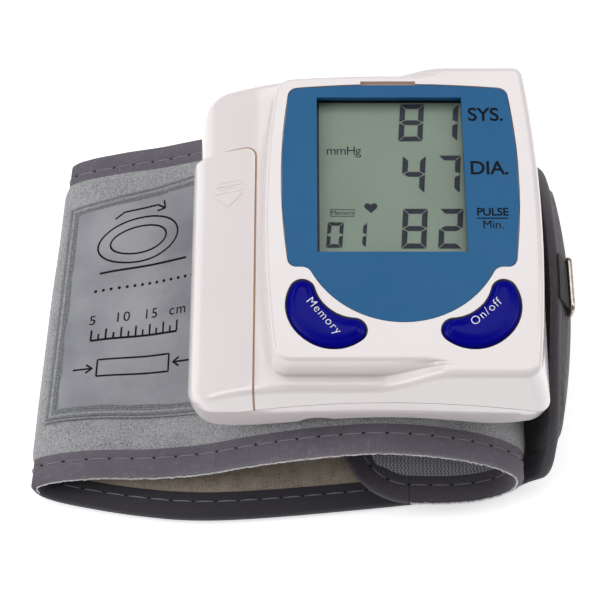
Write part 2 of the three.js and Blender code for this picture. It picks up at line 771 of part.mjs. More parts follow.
function buildPanel() {
  const sheet = raised(panelOutline(0), recessFloor, panelTop);
  const opening = rectangle(windowCentre, windowWidth, windowLength);
  return sheet.subtract(raised(opening, ceiling, headTop + overrun));
}

function plateAround(width, length, low, high) {
  return raised(rectangle(windowCentre, width, length), low, high);
}

function buildFrame() {
  const glassWidth = windowWidth + 2 * glassMargin;
  const glassLength = windowLength + 2 * glassMargin;
  const block = plateAround(windowWidth + 2 * frameMargin, windowLength + 2 * frameMargin, boardTop, ceiling);
  const sight = plateAround(windowWidth + 2 * gap, windowLength + 2 * gap, boardTop - overrun, headTop);
  const pocket = plateAround(glassWidth + 2 * gap, glassLength + 2 * gap, boardTop - overrun, glassTop + gap);
  return block.subtract(sight).subtract(pocket);
}

function buildKey(angle) {
  const top = headTop + keyProud;
  const chamfer = keyDome * keyChamferShare;
  const levels = [[top - keyDome, 0], [top - chamfer, chamfer], [top, keyDome]];
  const rings = [ringAt(keyOutline(angle, 0), flangeTop), ...levels.map(([z, drawn]) => (
    ringAt(keyOutline(angle, -drawn), z)))];
  const cap = solidOf(loft(rings));
  const flange = raised(keyOutline(angle, flangeWidth), flangeTop - flangeThickness, flangeTop);
  const middle = keyMiddle(angle);
  return joined([cap, flange, upright(middle.x, middle.y, stemRadius, plungerTop, flangeTop)]);
}

function buildSwitch(angle) {
  const middle = keyMiddle(angle);
  const half = switchSize / 2;
  const body = box(middle.x - half, middle.x + half, middle.y - half, middle.y + half, boardTop, switchTop);
  return body.subtract(upright(middle.x, middle.y, plungerRadius + gap, boardTop + switchFloor, headTop));
}

function buildPlunger(angle) {
  const middle = keyMiddle(angle);
  return upright(middle.x, middle.y, plungerRadius, boardTop + switchFloor + keyTravel + gap, plungerTop);
}

function buildBoard() {
  const board = box(boardLeft, boardRight, boardFront, boardRear, boardTop - boardThickness, boardTop);
  const notches = screwPlaces.slice(1, 2).map((place) => (
    box(place.x - boardNotch / 2, boardRight + overrun, place.y - boardNotch / 2, boardRear + overrun,
      boardTop - overrun, boardTop + overrun)));
  return board.subtract(joined(notches));
}

// Cells, contacts and springs

function buildCell(axis, front, buttonRear) {
  const profile = [
    [0, 0], [cellRadius - gap, 0], [cellRadius, gap], [cellRadius, cellLength - gap],
    [cellRadius - gap, cellLength], [cellButtonRadius, cellLength], [cellButtonRadius, cellWhole],
    [0, cellLength + cellButtonLength],
  ].map(([r, y]) => new THREE.Vector2(r, y));
  const geometry = new THREE.LatheGeometry(profile, roundSides);
  if (!buttonRear) geometry.rotateX(Math.PI).translate(0, cellLength + cellButtonLength, 0);
  return solidOf(geometry.translate(axis.x, front, axis.y));
}

class SpringPath extends THREE.Curve {
  constructor(axis, from, to) {
    super();
    Object.assign(this, { axis, from, to });
  }

  getPoint(share, target = new THREE.Vector3()) {
    const angle = 2 * Math.PI * springTurns * share;
    const radius = THREE.MathUtils.lerp(cellRadius - 2 * springWire, cellRadius / 2, share);
    const y = THREE.MathUtils.lerp(this.from, this.to, share);
    return target.set(this.axis.x + radius * Math.cos(angle), y, this.axis.y + radius * Math.sin(angle));
  }
}

function buildSpring(axis, from, to) {
  const wire = new THREE.Shape().absarc(0, 0, springWire / 2, 0, 2 * Math.PI);
  const extrudePath = new SpringPath(axis, from, to);
  const settings = { steps: 30, curveSegments: 5, bevelEnabled: false, extrudePath };
  return solidOf(new THREE.ExtrudeGeometry(wire, settings));
}

function contact(axis, front) {
  const half = contactWidth / 2;
  return box(axis.x - half, axis.x + half, front, front + contactThickness, axis.y - half, axis.y + half);
}

// Pump and air line

const manifoldLow = arch.y + caseWall + gap;
const airHeight = manifoldLow + manifoldSize.z / 2;

function buildPumpHead() {
  const front = motorFront + motorLength;
  const half = pumpHeadWidth / 2;
  const block = box(motorAxis.x - half, motorAxis.x + half, front, front + pumpHeadLength,
    motorAxis.y - pumpHeadHeight / 2, motorAxis.y + pumpHeadHeight / 2);
  const port = lying(motorAxis.x, airHeight, tubeRadius, front, front + pumpHeadLength + portLength);
  return block.add(port);
}

function buildManifold() {
  const left = manifoldCentre.x - manifoldSize.x / 2;
  const front = manifoldCentre.y - manifoldSize.y / 2;
  const rear = front + manifoldSize.y;
  const block = box(left, left + manifoldSize.x, front, rear, manifoldLow, manifoldLow + manifoldSize.z);
  return block.add(lying(manifoldCentre.x, airHeight, tubeRadius, front - portLength, rear + portLength));
}

function buildValve() {
  const left = manifoldCentre.x - valveSize.x / 2;
  const low = manifoldLow;
  const block = box(left, left + valveSize.x, valveFront, valveFront + valveSize.y, low, low + valveSize.z);
  const portEnd = valveFront + valveSize.y + portLength;
  return block.add(lying(manifoldCentre.x, airHeight, tubeRadius, valveFront + gap, portEnd));
}

function buildSensor() {
  const low = boardTop - boardThickness - sensorSize.z;
  const body = box(sensorCentre.x - sensorSize.x / 2, sensorCentre.x + sensorSize.x / 2,
    sensorCentre.y - sensorSize.y / 2, sensorCentre.y + sensorSize.y / 2, low, low + sensorSize.z);
  return body.add(upright(sensorCentre.x, sensorCentre.y, tubeRadius / 2, low - portLength, low));
}

function tube(points, steps) {
  const path = new THREE.CatmullRomCurve3(points.map(([x, y]) => new THREE.Vector3(x, y, airHeight)));
  const hose = new THREE.Shape().absarc(0, 0, tubeRadius, 0, 2 * Math.PI);
  const settings = { steps, curveSegments: 8, bevelEnabled: false, extrudePath: path };
  return solidOf(new THREE.ExtrudeGeometry(hose, settings));
}

function buildPumpTube() {
  const from = motorFront + motorLength + pumpHeadLength + portLength + gap;
  const to = manifoldCentre.y + manifoldSize.y / 2 + portLength + gap;
  const bend = tubeRadius * 2;
  const high = to + bend;
  const slope = (share) => THREE.MathUtils.lerp(motorAxis.x, manifoldCentre.x, share);
  const [first, middle, last] = pumpTubeShares.map(slope);
  return tube([[motorAxis.x, from], [motorAxis.x, from + bend], [first, high - bend], [middle, high + bend / 2],
    [last, high], [manifoldCentre.x, to + bend / 4], [manifoldCentre.x, to]], pumpTubeSteps);
}

function buildValveTube() {
  const from = valveFront + valveSize.y + portLength + gap;
  const to = manifoldCentre.y - manifoldSize.y / 2 - portLength - gap;
  return tube([[manifoldCentre.x, from], [manifoldCentre.x, to]], 2);
}

function underAt(x) {
  const lower = silhouette(0, caseLeft).filter((point) => point.y < partingTop - overrun && point.x > caseLeft);
  const after = lower.findIndex((point) => point.x > x);
  return THREE.MathUtils.mapLinear(x, lower[after - 1].x, lower[after].x, lower[after - 1].y, lower[after].y);
}

function buildPlate() {
  const half = Math.min(rightLobe.x - arch.x, arch.x - leftLobe.x) - plateMargin;
  const across = Array.from({ length: arcSteps + 1 }, (_, i) => arch.x + half * (2 * i / arcSteps - 1));
  const upper = across.map((x) => new THREE.Vector2(x, underAt(x) - gap));
  const lower = across.map((x) => new THREE.Vector2(x, underAt(x) - gap - plateThickness)).reverse();
  const plate = alongY([...upper, ...lower], caseFront + plateEnd, caseRear - plateEnd);
  return plate.add(joined(hookBoxes(0)))
    .subtract(upright(manifoldCentre.x, manifoldCentre.y, nippleRadius + gap, caseLow, headTop));
}

function buildScrew(place) {
  const top = seatFor(place) - gap;
  const [low, high] = [top - screwHeadHeight, partingHigh(place.x) + screwReach];
  const shank = upright(place.x, place.y, screwRadius, low, high, screwSides[0]);
  return shank.add(upright(place.x, place.y, screwHeadRadius, low, top, screwSides[1]));
}

// Cuff strip: a ruled surface that runs from the flap's tip under the case, round the left fold,
// along the table and up the right side. Rows: x and z as shares of the reach on that side and of the rise,
// and how far the strip is shifted forward as a share of cuffForward.
const cuffRunShares = [
  [-0.07, 0.2, 0.75], [0.12, 0.2, 0.8], [0.29, 0.2, 0.8], [0.405, 0.225, 0.6], [0.47, 0.33, 0.35],
  [0.472, 0.47, 0.2], [0.425, 0.61, 0.08], [0.35, 0.74, 0], [0.24, 0.89, 0], [0.13, 0.98, 0], [0.01, 1, 0],
  [-0.11, 0.93, 0], [-0.215, 0.84, 0], [-0.35, 0.68, 0], [-0.5, 0.47, 0], [-0.655, 0.37, 0], [-0.82, 0.36, 0],
  [-0.93, 0.33, 0.1], [-0.995, 0.235, 0.2], [-0.98, 0.13, 0.4], [-0.9, 0.06, 0.65], [-0.7, 0.06, 1.1],
  [-0.5, 0.06, 1.3], [0, 0.06, 0.85], [0.37, 0.06, 0.3], [0.48, 0.06, 0], [0.555, 0.13, -0.2], [0.61, 0.3, -0.2],
  [0.628, 0.53, -0.05], [0.626, 0.76, 0.1], [0.605, 1.02, 0.2], [0.577, 1.24, 0.2], [0.565, 1.32, 0.2],
];
const flapLevel = 2 * velourThickness + liningThickness + 3 * gap;
const flapShare = 0.2;
const riseAt = (share) => (share < flapShare ? flapLevel * share / flapShare
  : THREE.MathUtils.mapLinear(share, flapShare, 1, flapLevel, cuffRise));
const cuffReachRight = (caseRight + tailClearance) / cuffRunShares.at(-1)[0];
const tailPivot = new THREE.Vector2(tailPivotShare * cuffReachRight, velourThickness);
const cuffRun = new THREE.CatmullRomCurve3(cuffRunShares.map(([x, z, forward]) => (
  new THREE.Vector3(x * (x < 0 ? cuffReach : cuffReachRight), -forward * cuffForward, riseAt(z)))));
cuffRun.arcLengthDivisions = runDivisions;
const runLength = cuffRun.getLength();
const tailPlace = runLength * tailFromShare;

// Point on the strip: distance along it from the flap's tip, distance across it from its front edge,
// and height off its inner face
function onStrip(along, across, off) {
  const v = across / cuffWidth;
  const at = (distance) => {
    const p = cuffRun.getPointAt(THREE.MathUtils.clamp(distance / runLength, 0, 1));
    p.z = Math.max(p.z, velourThickness);
    if (distance > tailPlace && p.x > tailPivot.x) {
      const keep = 1 - tailBowShare * (2 * (v - tailBowCentreShare)) ** 2;
      p.x = tailPivot.x + (p.x - tailPivot.x) * keep;
      p.z = tailPivot.y + (p.z - tailPivot.y) * keep;
    }
    const coneX = coneStartShare * cuffReach;
    const coned = THREE.MathUtils.clamp((coneX - p.x) / (coneX + cuffReach), 0, 1);
    p.x -= cuffCone * (0.5 - v) * coned;
    return p;
  };
  const reach = velourThickness / 2;
  const here = at(along);
  const ahead = at(Math.min(along + reach, runLength));
  const behind = at(Math.max(along - reach, 0));
  const heading = new THREE.Vector2(ahead.x - behind.x, ahead.z - behind.z).normalize();
  const tapered = tailTaperShare * THREE.MathUtils.smoothstep(along, tailPlace, runLength);
  const y = cuffFront + here.y + across * (1 - tapered);
  return new THREE.Vector3(here.x + heading.y * off, y, here.z - heading.x * off);
}

// Places along the strip, closer where it turns, shared by all its layers
function layStations() {
  const list = [0];
  const fine = velourThickness / 4;
  let [turned, walked, before] = [0, 0, null];
  let last = onStrip(0, cuffWidth / 2, 0);
  for (let along = fine; along < runLength; along += fine) {
    const point = onStrip(along, cuffWidth / 2, 0);
    const heading = Math.atan2(point.z - last.z, point.x - last.x);
    const change = before === null ? 0 : heading - before;
    turned += Math.abs(Math.atan2(Math.sin(change), Math.cos(change)));
    walked += fine;
    if (turned > stationTurn || walked > stationSpacing) {
      list.push(along);
      [turned, walked] = [0, 0];
    }
    before = heading;
    last = point;
  }
  return list;
}

// The strip's ends are rounded: tip radii along and across it
const edgeRoom = bindingThickness + gap;
const fullRoom = bindingWidth + gap;
const tips = [[flapRadius, flapRadius], [tailRadiusAlong, tailRadiusAcross]];
const tipStations = tips.flatMap(([radius], end) => {
  const bends = Array.from({ length: tipSteps[end] }, (_, i) => (
    radius * (1 - Math.cos(Math.PI * (i + 1) / tipSteps[end] / 2))));
  const step = [fullRoom - gap, fullRoom];
  const clear = bends.filter((place) => step.every((at) => Math.abs(at - place) > gap));
  const places = [0, edgeRoom, ...step, ...clear];
  return end === 0 ? places : places.map((place) => runLength - place);
});
const bladderSpan = bladderShares.map((share) => share * runLength);
const labelSpan = labelShares.map((share) => share * runLength);
const bladderRamp = bladderThickness * 2;
const seam = seamShare * runLength;
const fixedStations = [
  ...tipStations, ...bladderSpan, bladderSpan[0] - bladderRamp, bladderSpan[1] + bladderRamp, ...labelSpan,
  seam, seam + gap,
];
const freeStations = layStations().filter((place) => (
  fixedStations.every((at) => Math.abs(at - place) > 2 * gap)));
const allStations = [...freeStations, ...fixedStations].sort((a, b) => a - b);

function between(from, to) {
  const inner = allStations.filter((place) => place > from + gap / 4 && place < to - gap / 4);
  return [from, ...inner, to];
}

// How far in from the edge line the strip begins at a place, for an outline drawn in by room
function drawnIn(along, room) {
  return tips.reduce((drawn, [radiusAlong, radiusAcross], end) => {
    const distance = (end === 0 ? along : runLength - along) - room;
    const short = THREE.MathUtils.clamp(1 - distance / (radiusAlong - room), 0, 1);
    return drawn + (radiusAcross - room) * (1 - Math.sqrt(1 - short * short));
  }, room);
}

// Columns of the layers' grid: pinchedColumns under the binding, then crossShares of the width between
const bladderColumns = [pinchedColumns + 1, pinchedColumns + crossShares.length - 2];

function acrossPlaces(along) {
  const first = drawnIn(along, edgeRoom);
  const step = Math.max(drawnIn(along, fullRoom), first + pinchedColumns * gap);
  const inner = crossShares.map((place) => THREE.MathUtils.lerp(step, cuffWidth - step, place));
  const pinched = [first, (first + step - gap) / 2, step - gap];
  return [...pinched, ...inner, ...pinched.map((place) => cuffWidth - place).reverse()];
}

function isPinched(along, i) {
  const nearEnd = Math.min(along, runLength - along) < fullRoom - gap / 2;
  return nearEnd || i < pinchedColumns || i >= pinchedColumns + crossShares.length;
}

// A layer of the strip: a grid of places along and across it, with a lower and an upper point at each
function layer(places, acrossOf, lowOf, highOf) {
  const rows = places.map((along) => acrossOf(along).map((across, i) => (
    [lowOf(along, i), highOf(along, i)].map((off) => onStrip(along, across, off)))));
  const [last, side] = [rows.length - 1, rows[0].length - 1];
  const index = (i, j, high) => 2 * (i * rows[0].length + j) + high;
  const order = [];
  const quad = (a, b, c, d) => order.push(a, b, c, a, c, d);
  for (let i = 0; i < last; i++) {
    for (let j = 0; j < side; j++) {
      const corners = [[i, j], [i, j + 1], [i + 1, j + 1], [i + 1, j]];
      const [a, b, c, d] = corners.map(([m, n]) => rows[m][n][0]);
      if (a.distanceTo(c) > b.distanceTo(d)) corners.push(corners.shift());
      quad(...corners.map(([m, n]) => index(m, n, 0)));
      quad(...corners.map(([m, n]) => index(m, n, 1)).reverse());
    }
    quad(index(i, 0, 0), index(i + 1, 0, 0), index(i + 1, 0, 1), index(i, 0, 1));
    quad(index(i + 1, side, 0), index(i, side, 0), index(i, side, 1), index(i + 1, side, 1));
  }
  for (let j = 0; j < side; j++) {
    quad(index(0, j + 1, 0), index(0, j, 0), index(0, j, 1), index(0, j + 1, 1));
    quad(index(last, j, 0), index(last, j + 1, 0), index(last, j + 1, 1), index(last, j, 1));
  }
  const geometry = new THREE.BufferGeometry().setFromPoints(rows.flat(2));
  geometry.setIndex(order);
  return outwards(geometry);
}

// The bladder's swelling, 0 to 1, over the run and across it
function swelling(along, i) {
  const run = Math.min((along - bladderSpan[0]) / bladderRamp, (bladderSpan[1] - along) / bladderRamp) + 1;
  const across = i >= bladderColumns[0] && i <= bladderColumns[1];
  return across ? THREE.MathUtils.clamp(run, 0, 1) : 0;
}

function buildVelour() {
  const high = (along, i) => (isPinched(along, i) ? pinchedThickness : velourThickness);
  const strip = solidOf(layer(between(edgeRoom, runLength - edgeRoom), acrossPlaces, () => 0, high));
  const nippleRoom = upright(manifoldCentre.x, manifoldCentre.y, nippleRadius + gap, leftLobe.y - overrun, headTop);
  return strip.subtract(nippleRoom);
}

function buildLining(from, to) {
  const low = (along, i) => {
    const thickness = isPinched(along, i) ? pinchedLining : liningThickness;
    return -gap - thickness - swelling(along, i) * (bladderThickness + gap);
  };
  const high = (along, i) => -gap - swelling(along, i) * (bladderThickness + gap);
  return layer(between(from, to), acrossPlaces, low, high);
}

function buildBladder() {
  const across = (along) => {
    const places = acrossPlaces(along).slice(bladderColumns[0], bladderColumns[1] + 1);
    places[0] += gap;
    places[places.length - 1] -= gap;
    return places;
  };
  return layer(between(...bladderSpan), across, () => -gap - bladderThickness, () => -gap);
}

// Outline of the strip in its own plane, once round, with the direction that points inwards
function stripOutline() {
  const [first, last] = [flapRadius - gap / 4, runLength - tailRadiusAlong + gap / 4];
  const front = allStations.filter((place) => place > first && place < last);
  const path = front.map((along) => [along, 0, 0, 1]);
  const tip = (end, side) => {
    const [radiusAlong, radiusAcross] = tips[end];
    const sign = end === 0 ? 1 : -1;
    const start = end === 0 ? 0 : runLength;
    return Array.from({ length: tipSteps[end] - 1 }, (_, i) => {
      const angle = Math.PI * (i + 1) / tipSteps[end] / 2;
      const normal = new THREE.Vector2(Math.sin(angle) / radiusAlong, Math.cos(angle) / radiusAcross);
      normal.normalize();
      const along = start + sign * radiusAlong * (1 - Math.sin(angle));
      const across = radiusAcross * (1 - Math.cos(angle));
      return [along, side > 0 ? cuffWidth - across : across, sign * normal.x, -side * normal.y];
    });
  };
  const straight = (end, at, sign) => crossEndShares.map((share) => {
    const radiusAcross = tips[end][1];
    return [at, THREE.MathUtils.lerp(radiusAcross, cuffWidth - radiusAcross, share), sign, 0];
  });
  return [
    ...path, ...tip(1, -1), ...straight(1, runLength, -1), ...tip(1, 1).reverse(),
    ...path.slice().reverse().map(([along]) => [along, cuffWidth, 0, -1]),
    ...tip(0, 1), ...straight(0, 0, 1).reverse(), ...tip(0, -1).reverse(),
  ];
}

// Twill tape: a channel that runs once round the strip's edge
function buildBinding() {
  const inner = -2 * gap - pinchedLining;
  const half = bindingWidth / 2;
  const [outerLow, innerLow] = [velourThickness - bindingThickness, inner - bindingThickness];
  const section = [
    [0, velourThickness], [half, velourThickness], [bindingWidth, velourThickness], [bindingWidth, outerLow],
    [half, outerLow], [bindingThickness, outerLow], [bindingThickness, inner], [half, inner],
    [bindingWidth, inner], [bindingWidth, innerLow], [half, innerLow], [0, innerLow],
  ];
  const rings = stripOutline().map(([along, across, inAlong, inAcross]) => (
    section.map(([inward, off]) => onStrip(along + inAlong * inward, across + inAcross * inward, off))));
  return loft(rings, true);
}

// Printed patch on the upper layer
function buildLabel() {
  const low = velourThickness + gap;
  const places = between(...labelSpan);
  const labelRear = cuffWidth - labelRearInset;
  const across = () => [labelFront, (labelFront + labelRear) / 2, labelRear];
  return layer(places, across, () => low, () => low + labelThickness);
}

// Tape down the tail's outer face with a loop at its lower end, and the ring that hangs in the loop
const tapeEnd = runLength - tapeStart - tapeLength;
const tapeOff = velourThickness + gap;
const loopInner = ringWire + gap;
const loopCentre = onStrip(tapeEnd, tapeMiddle, tapeOff + tapeThickness + loopInner);

function buildTape() {
  const across = () => [tapeMiddle - tapeWidth / 2, tapeMiddle, tapeMiddle + tapeWidth / 2];
  const places = between(tapeEnd, runLength - tapeStart);
  const strip = solidOf(layer(places, across, () => tapeOff, () => tapeOff + tapeThickness));
  const [front, rear] = [loopCentre.y - tapeWidth / 2, loopCentre.y + tapeWidth / 2];
  return lying(loopCentre.x, loopCentre.z, loopInner + tapeThickness, front, rear).add(strip)
    .subtract(lying(loopCentre.x, loopCentre.z, loopInner, front - overrun, rear + overrun));
}

function buildRing() {
  const half = ringLength / 2 - ringWire;
  const outline = bowedOutline(-half, half, -ringDrop, 0, Array(4).fill(ringCorner), 0, 0, 0, 0);
  const rings = outline.map((point, i) => {
    const before = outline[(i + outline.length - 1) % outline.length];
    const after = outline[(i + 1) % outline.length];
    const side = after.clone().sub(before).normalize();
    return Array.from({ length: roundSides / 2 }, (_, j) => {
      const angle = 4 * Math.PI * j / roundSides;
      const inPlane = ringWire * Math.cos(angle);
      return new THREE.Vector3(ringWire * Math.sin(angle), point.x + side.y * inPlane, point.y - side.x * inPlane);
    });
  });
  return loft(rings, true).translate(loopCentre.x, loopCentre.y, loopCentre.z);
}

// Air nipple, from the manifold through the case, the plate and the velour to the bladder
function buildNipple() {
  const low = cuffRise + gap / 2;
  return upright(manifoldCentre.x, manifoldCentre.y, nippleRadius, low, manifoldLow)
    .subtract(upright(manifoldCentre.x, manifoldCentre.y, nippleBore, low - overrun, manifoldLow - nippleBore));
}

// Case and display
add('front_case', buildFrontCase(), shellPlastic);
add('rear_case', buildRearCase(), shellPlastic);
add('battery_cover', buildCover(), shellPlastic);
add('display_panel', buildPanel(), bezelPlastic);
add('display_window', plateAround(windowWidth + 2 * lensMargin, windowLength + 2 * lensMargin, lensLow, recessFloor),
  clearPlastic);
add('lcd_frame', buildFrame(), darkPlastic);
add('lcd_glass', plateAround(windowWidth + 2 * glassMargin, windowLength + 2 * glassMargin,
  glassTop - glassThickness, glassTop), displayGlass);
for (const [name, side] of [['zebra_strip_left', -1], ['zebra_strip_right', 1]]) {
  const x = windowCentre.x + side * (windowWidth / 2 + glassMargin - zebraWidth / 2);
  add(name, box(x - zebraWidth / 2, x + zebraWidth / 2, windowCentre.y - windowLength / 2,
    windowCentre.y + windowLength / 2, boardTop, glassTop - glassThickness), rubber);
}

// Board, keys and switches
add('main_board', buildBoard(), boardGreen);
for (const [name, angle] of Object.entries(keyAngle)) {
  add(`${name}_button`, buildKey(angle), keyPlastic);
  add(`${name}_switch`, buildSwitch(angle), darkPlastic);
  add(`${name}_plunger`, buildPlunger(angle), rubber);
}
const boardLow = boardTop - boardThickness;
const under = (centre, size) => box(centre.x - size.x / 2, centre.x + size.x / 2, centre.y - size.y / 2,
  centre.y + size.y / 2, boardLow - size.z, boardLow);
add('main_chip', under(chipCentre, chipSize), darkPlastic);
add('pressure_sensor', buildSensor(), darkPlastic);
add('buzzer', upright(buzzerCentre.x, buzzerCentre.y, buzzerRadius, boardLow - buzzerHeight, boardLow), darkPlastic);

// Cells and contacts
const bridge = joined([contact(outerCell, frontPlate), contact(innerCell, frontPlate),
  box(outerCell.x, innerCell.x, frontPlate, frontPlate + contactThickness,
    outerCell.y, outerCell.y + contactWidth * tabShare)]);
add('cell_outer', buildCell(outerCell, outerCellFront, true), cellJacket);
add('cell_inner', buildCell(innerCell, cellFront, false), cellJacket);
add('contact_bridge', bridge, steel);
add('contact_positive', contact(outerCell, rearPlate), steel);
add('contact_negative', contact(innerCell, rearPlate), steel);
add('spring_outer', buildSpring(outerCell, frontPlate + contactThickness + springWire, outerCellFront - springWire), steel);
add('spring_inner', buildSpring(innerCell, rearPlate - springWire, cellFront + cellWhole + springWire), steel);

// Pump and air line
add('pump_motor', lying(motorAxis.x, motorAxis.y, motorRadius, motorFront, motorFront + motorLength), steel);
add('pump_head', buildPumpHead(), darkPlastic);
add('release_valve', buildValve(), steel);
add('air_manifold', buildManifold(), darkPlastic);
add('pump_tube', buildPumpTube(), rubber);
add('valve_tube', buildValveTube(), rubber);
add('air_nipple', buildNipple(), darkPlastic);

// Fasteners and plate
screwPlaces.forEach((place, i) => add(`case_screw_${i + 1}`, buildScrew(place), steel));
add('cuff_plate', buildPlate(), shellPlastic);

// Cuff
add('cuff_outer', buildVelour(), velour);
add('knit_lining', buildLining(edgeRoom, seam), knit);
add('fleece_lining', buildLining(seam + gap, runLength - edgeRoom), fleece);
add('bladder', buildBladder(), rubber);
add('edge_binding', buildBinding(), twill);
add('label_patch', buildLabel(), patchFilm);
add('ring_tape', buildTape(), tapeBlack);
add('closing_ring', buildRing(), nickel);

// The origin moves to the bottom centre of the box round everything
const bounds = new THREE.Box3().setFromObject(monitor);
const middle = bounds.getCenter(new THREE.Vector3());
for (const mesh of monitor.children) mesh.geometry.translate(-middle.x, -middle.y, -bounds.min.z);

export default monitor;
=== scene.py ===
import math

import bmesh
import bpy
import numpy as np
from mathutils import Matrix, Vector

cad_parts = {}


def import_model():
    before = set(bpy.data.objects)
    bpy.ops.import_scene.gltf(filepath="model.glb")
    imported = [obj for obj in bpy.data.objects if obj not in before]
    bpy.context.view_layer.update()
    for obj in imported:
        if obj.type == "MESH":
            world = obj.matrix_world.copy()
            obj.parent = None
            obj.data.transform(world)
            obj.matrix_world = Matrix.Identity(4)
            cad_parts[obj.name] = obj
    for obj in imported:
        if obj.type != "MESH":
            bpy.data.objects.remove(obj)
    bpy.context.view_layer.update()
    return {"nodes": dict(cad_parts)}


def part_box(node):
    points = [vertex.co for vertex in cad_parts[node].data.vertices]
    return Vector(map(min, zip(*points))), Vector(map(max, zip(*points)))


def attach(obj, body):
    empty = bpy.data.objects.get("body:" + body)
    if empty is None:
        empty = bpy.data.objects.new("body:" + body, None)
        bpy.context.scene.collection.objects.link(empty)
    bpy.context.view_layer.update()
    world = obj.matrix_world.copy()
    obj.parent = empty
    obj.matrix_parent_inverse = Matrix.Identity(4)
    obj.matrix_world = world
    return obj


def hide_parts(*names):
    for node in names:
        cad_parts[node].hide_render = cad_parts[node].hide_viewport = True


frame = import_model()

# Lengths are in millimetres in the frame of the case, with x = 0 and y = 0 at its middle
MM = 0.001
ROOT = "monitor"
gap = 0.3
merge_distance = 0.002

# Case
case_width = 74.3
case_length = 74.2
case_wall = 1.8
cover_wall = 1.6
ledge_height = 45.5
head_top = 52
head_top_wall = 2.6
low_level = 20
waist_level = 36
high_level = 57
side_draft = 2.6
front_draft = 2.2
rear_draft = 2.6
foot_draft = 1.6
side_bow = 3.3
corner_radii = (3, 2, 6, 5.5)
rear_dip = 1.5
rear_dip_span = (12, 31)
shoulder_radius_x = 22.2
shoulder_radius_z = 11.5
shoulder_step = 1.5
sweep_start = 1
sweep_end = 16.5
side_low = 32
left_lobe = (-26.6, 23.6)
right_lobe = (26.2, 25.4)
arch = (4.5, 30.3)
arch_pull = 2.2
parting_top = 40.2
parting_radius = 110
parting_gap = 0.25
edge_radius = 1.6
foot_radius = 0.4
toe_share = 0.35
brow_share = 0.55
notch_setback = 14.5
notch_radius = 4.2
notch_rise = 3.4
notch_depth = 6
screw_places = ((-29.5, 28.6), (27.2, 27.4), (28.2, -31), (6.55, -31))
screw_radius = 1.1
screw_head_radius = 2.1
screw_head_height = 1.6
post_radius = 3.4
post_wall = 1
seat_rise = 3.1

# Head, bezel and window; sides and bows run left, right, front, rear
head_sides = (-18.8, 28.3, -32.2, 31.9)
head_bows = (2.3, 3.3, 0, 1)
head_radius = 3
head_edge = 0.8
head_draft = 0.7
panel_top = 51.85
panel_thickness = 1.2
panel_sides = (-16.2, 29.3, -11.89, 29.4)
panel_bows = (1.6, 1.6, 0, 1.1)
panel_radius = 1.6
panel_gap = 0.15
slot_sides = (-1.25, 10.3)
slot_ends = (28.3, 31.25)
slot_floor = 51.2
chin_radius = 20.6
chin_fillet = 2.2
key_centre = (6.55, -3.39)
window_centre = (4.7, 9.4)
window_width = 30.4
window_length = 35.99
lens_margin = 1.2
glass_top = 48.85
# Width of the dark strip that paints the window's shadow on its left edge
shadow_strip_width = 0.5

# Keys
key_radius = 27.2
key_drop = 2.7
key_half_width = 3.9
key_taper = 1.5
key_power = 2.2
key_half_sweep = math.radians(15.7)
key_angles = {"memory": math.radians(-129.5), "power": math.radians(-50.5)}
key_foot = 47.2
key_proud = 0.9
key_edge = 1.1
key_crown = 0.35
key_gap_depth = 0.35

# Battery cover and the arrow on it
cover_right = -23.5
cover_rear = 19.5
cover_radius = 2.2
cover_gap = 0.42
gap_depth = 0.3
arrow_sides = (-32, -26.1)
arrow_bar = 1
arrow_bar_fronts = (11, 9.5)
arrow_head = (8.9, 6)
arrow_rise = 0.18
arrow_sink = 0.1

# Figures on the display: each with its left, right, front and rear
stroke = 1.15
small_stroke = 0.8
figure_boxes = (
    ("8", 6.6, 11.7, 18.5, 27.5, stroke), ("1", 14.2, 19.0, 18.5, 27.5, stroke),
    ("4", 6.9, 11.7, 6.2, 15.1, stroke), ("7", 14.3, 19.0, 6.2, 15.1, stroke),
    ("8", 6.6, 11.7, -6.5, 2.6, stroke), ("2", 14.1, 19.0, -6.5, 2.6, stroke),
    ("0", -8.7, -5.4, -6.3, -0.5, small_stroke), ("1", -4.2, -0.6, -6.3, -0.5, small_stroke),
)
segments = {"0": "abcdef", "1": "bc", "2": "abged", "4": "fgbc", "7": "abc", "8": "abcdefg"}
segment_play_share = 0.1
figure_slant = math.tan(math.radians(4))
heart_centre = (0.6, 2.9)
heart_size = 1.35
box_sides = (-7.8, -2.8)
box_ends = (0.8, 2.5)
box_line = 0.12
glyph_lift = 0.04

# Words: each with its size, its place, and its weight or turn
display_words = (("display_unit", "mmHg", 2.9, (-4.9, 16.2)),
                 ("display_box_word", "Memory", 1.5, (-5.3, 1.65)))
panel_words = (("SYS.", 4.4, (24.8, 23.1), 0.06), ("DIA.", 4.4, (25, 10.4), 0.06),
               ("PULSE", 2.5, (25.2, 0.3), 0.045), ("Min.", 2.6, (25.2, -2.6), 0))
panel_rule = (21.9, 28.3, -1.2, -0.95)
key_words = (("memory", "Memory", (-9.3, -23.1), -50), ("power", "On/off", (22.7, -22.3), 41))
key_word_size = 2.5
key_word_sink = 0.08
key_word_weight = -0.03
word_lift = 0.03
raised_lift = 0.1

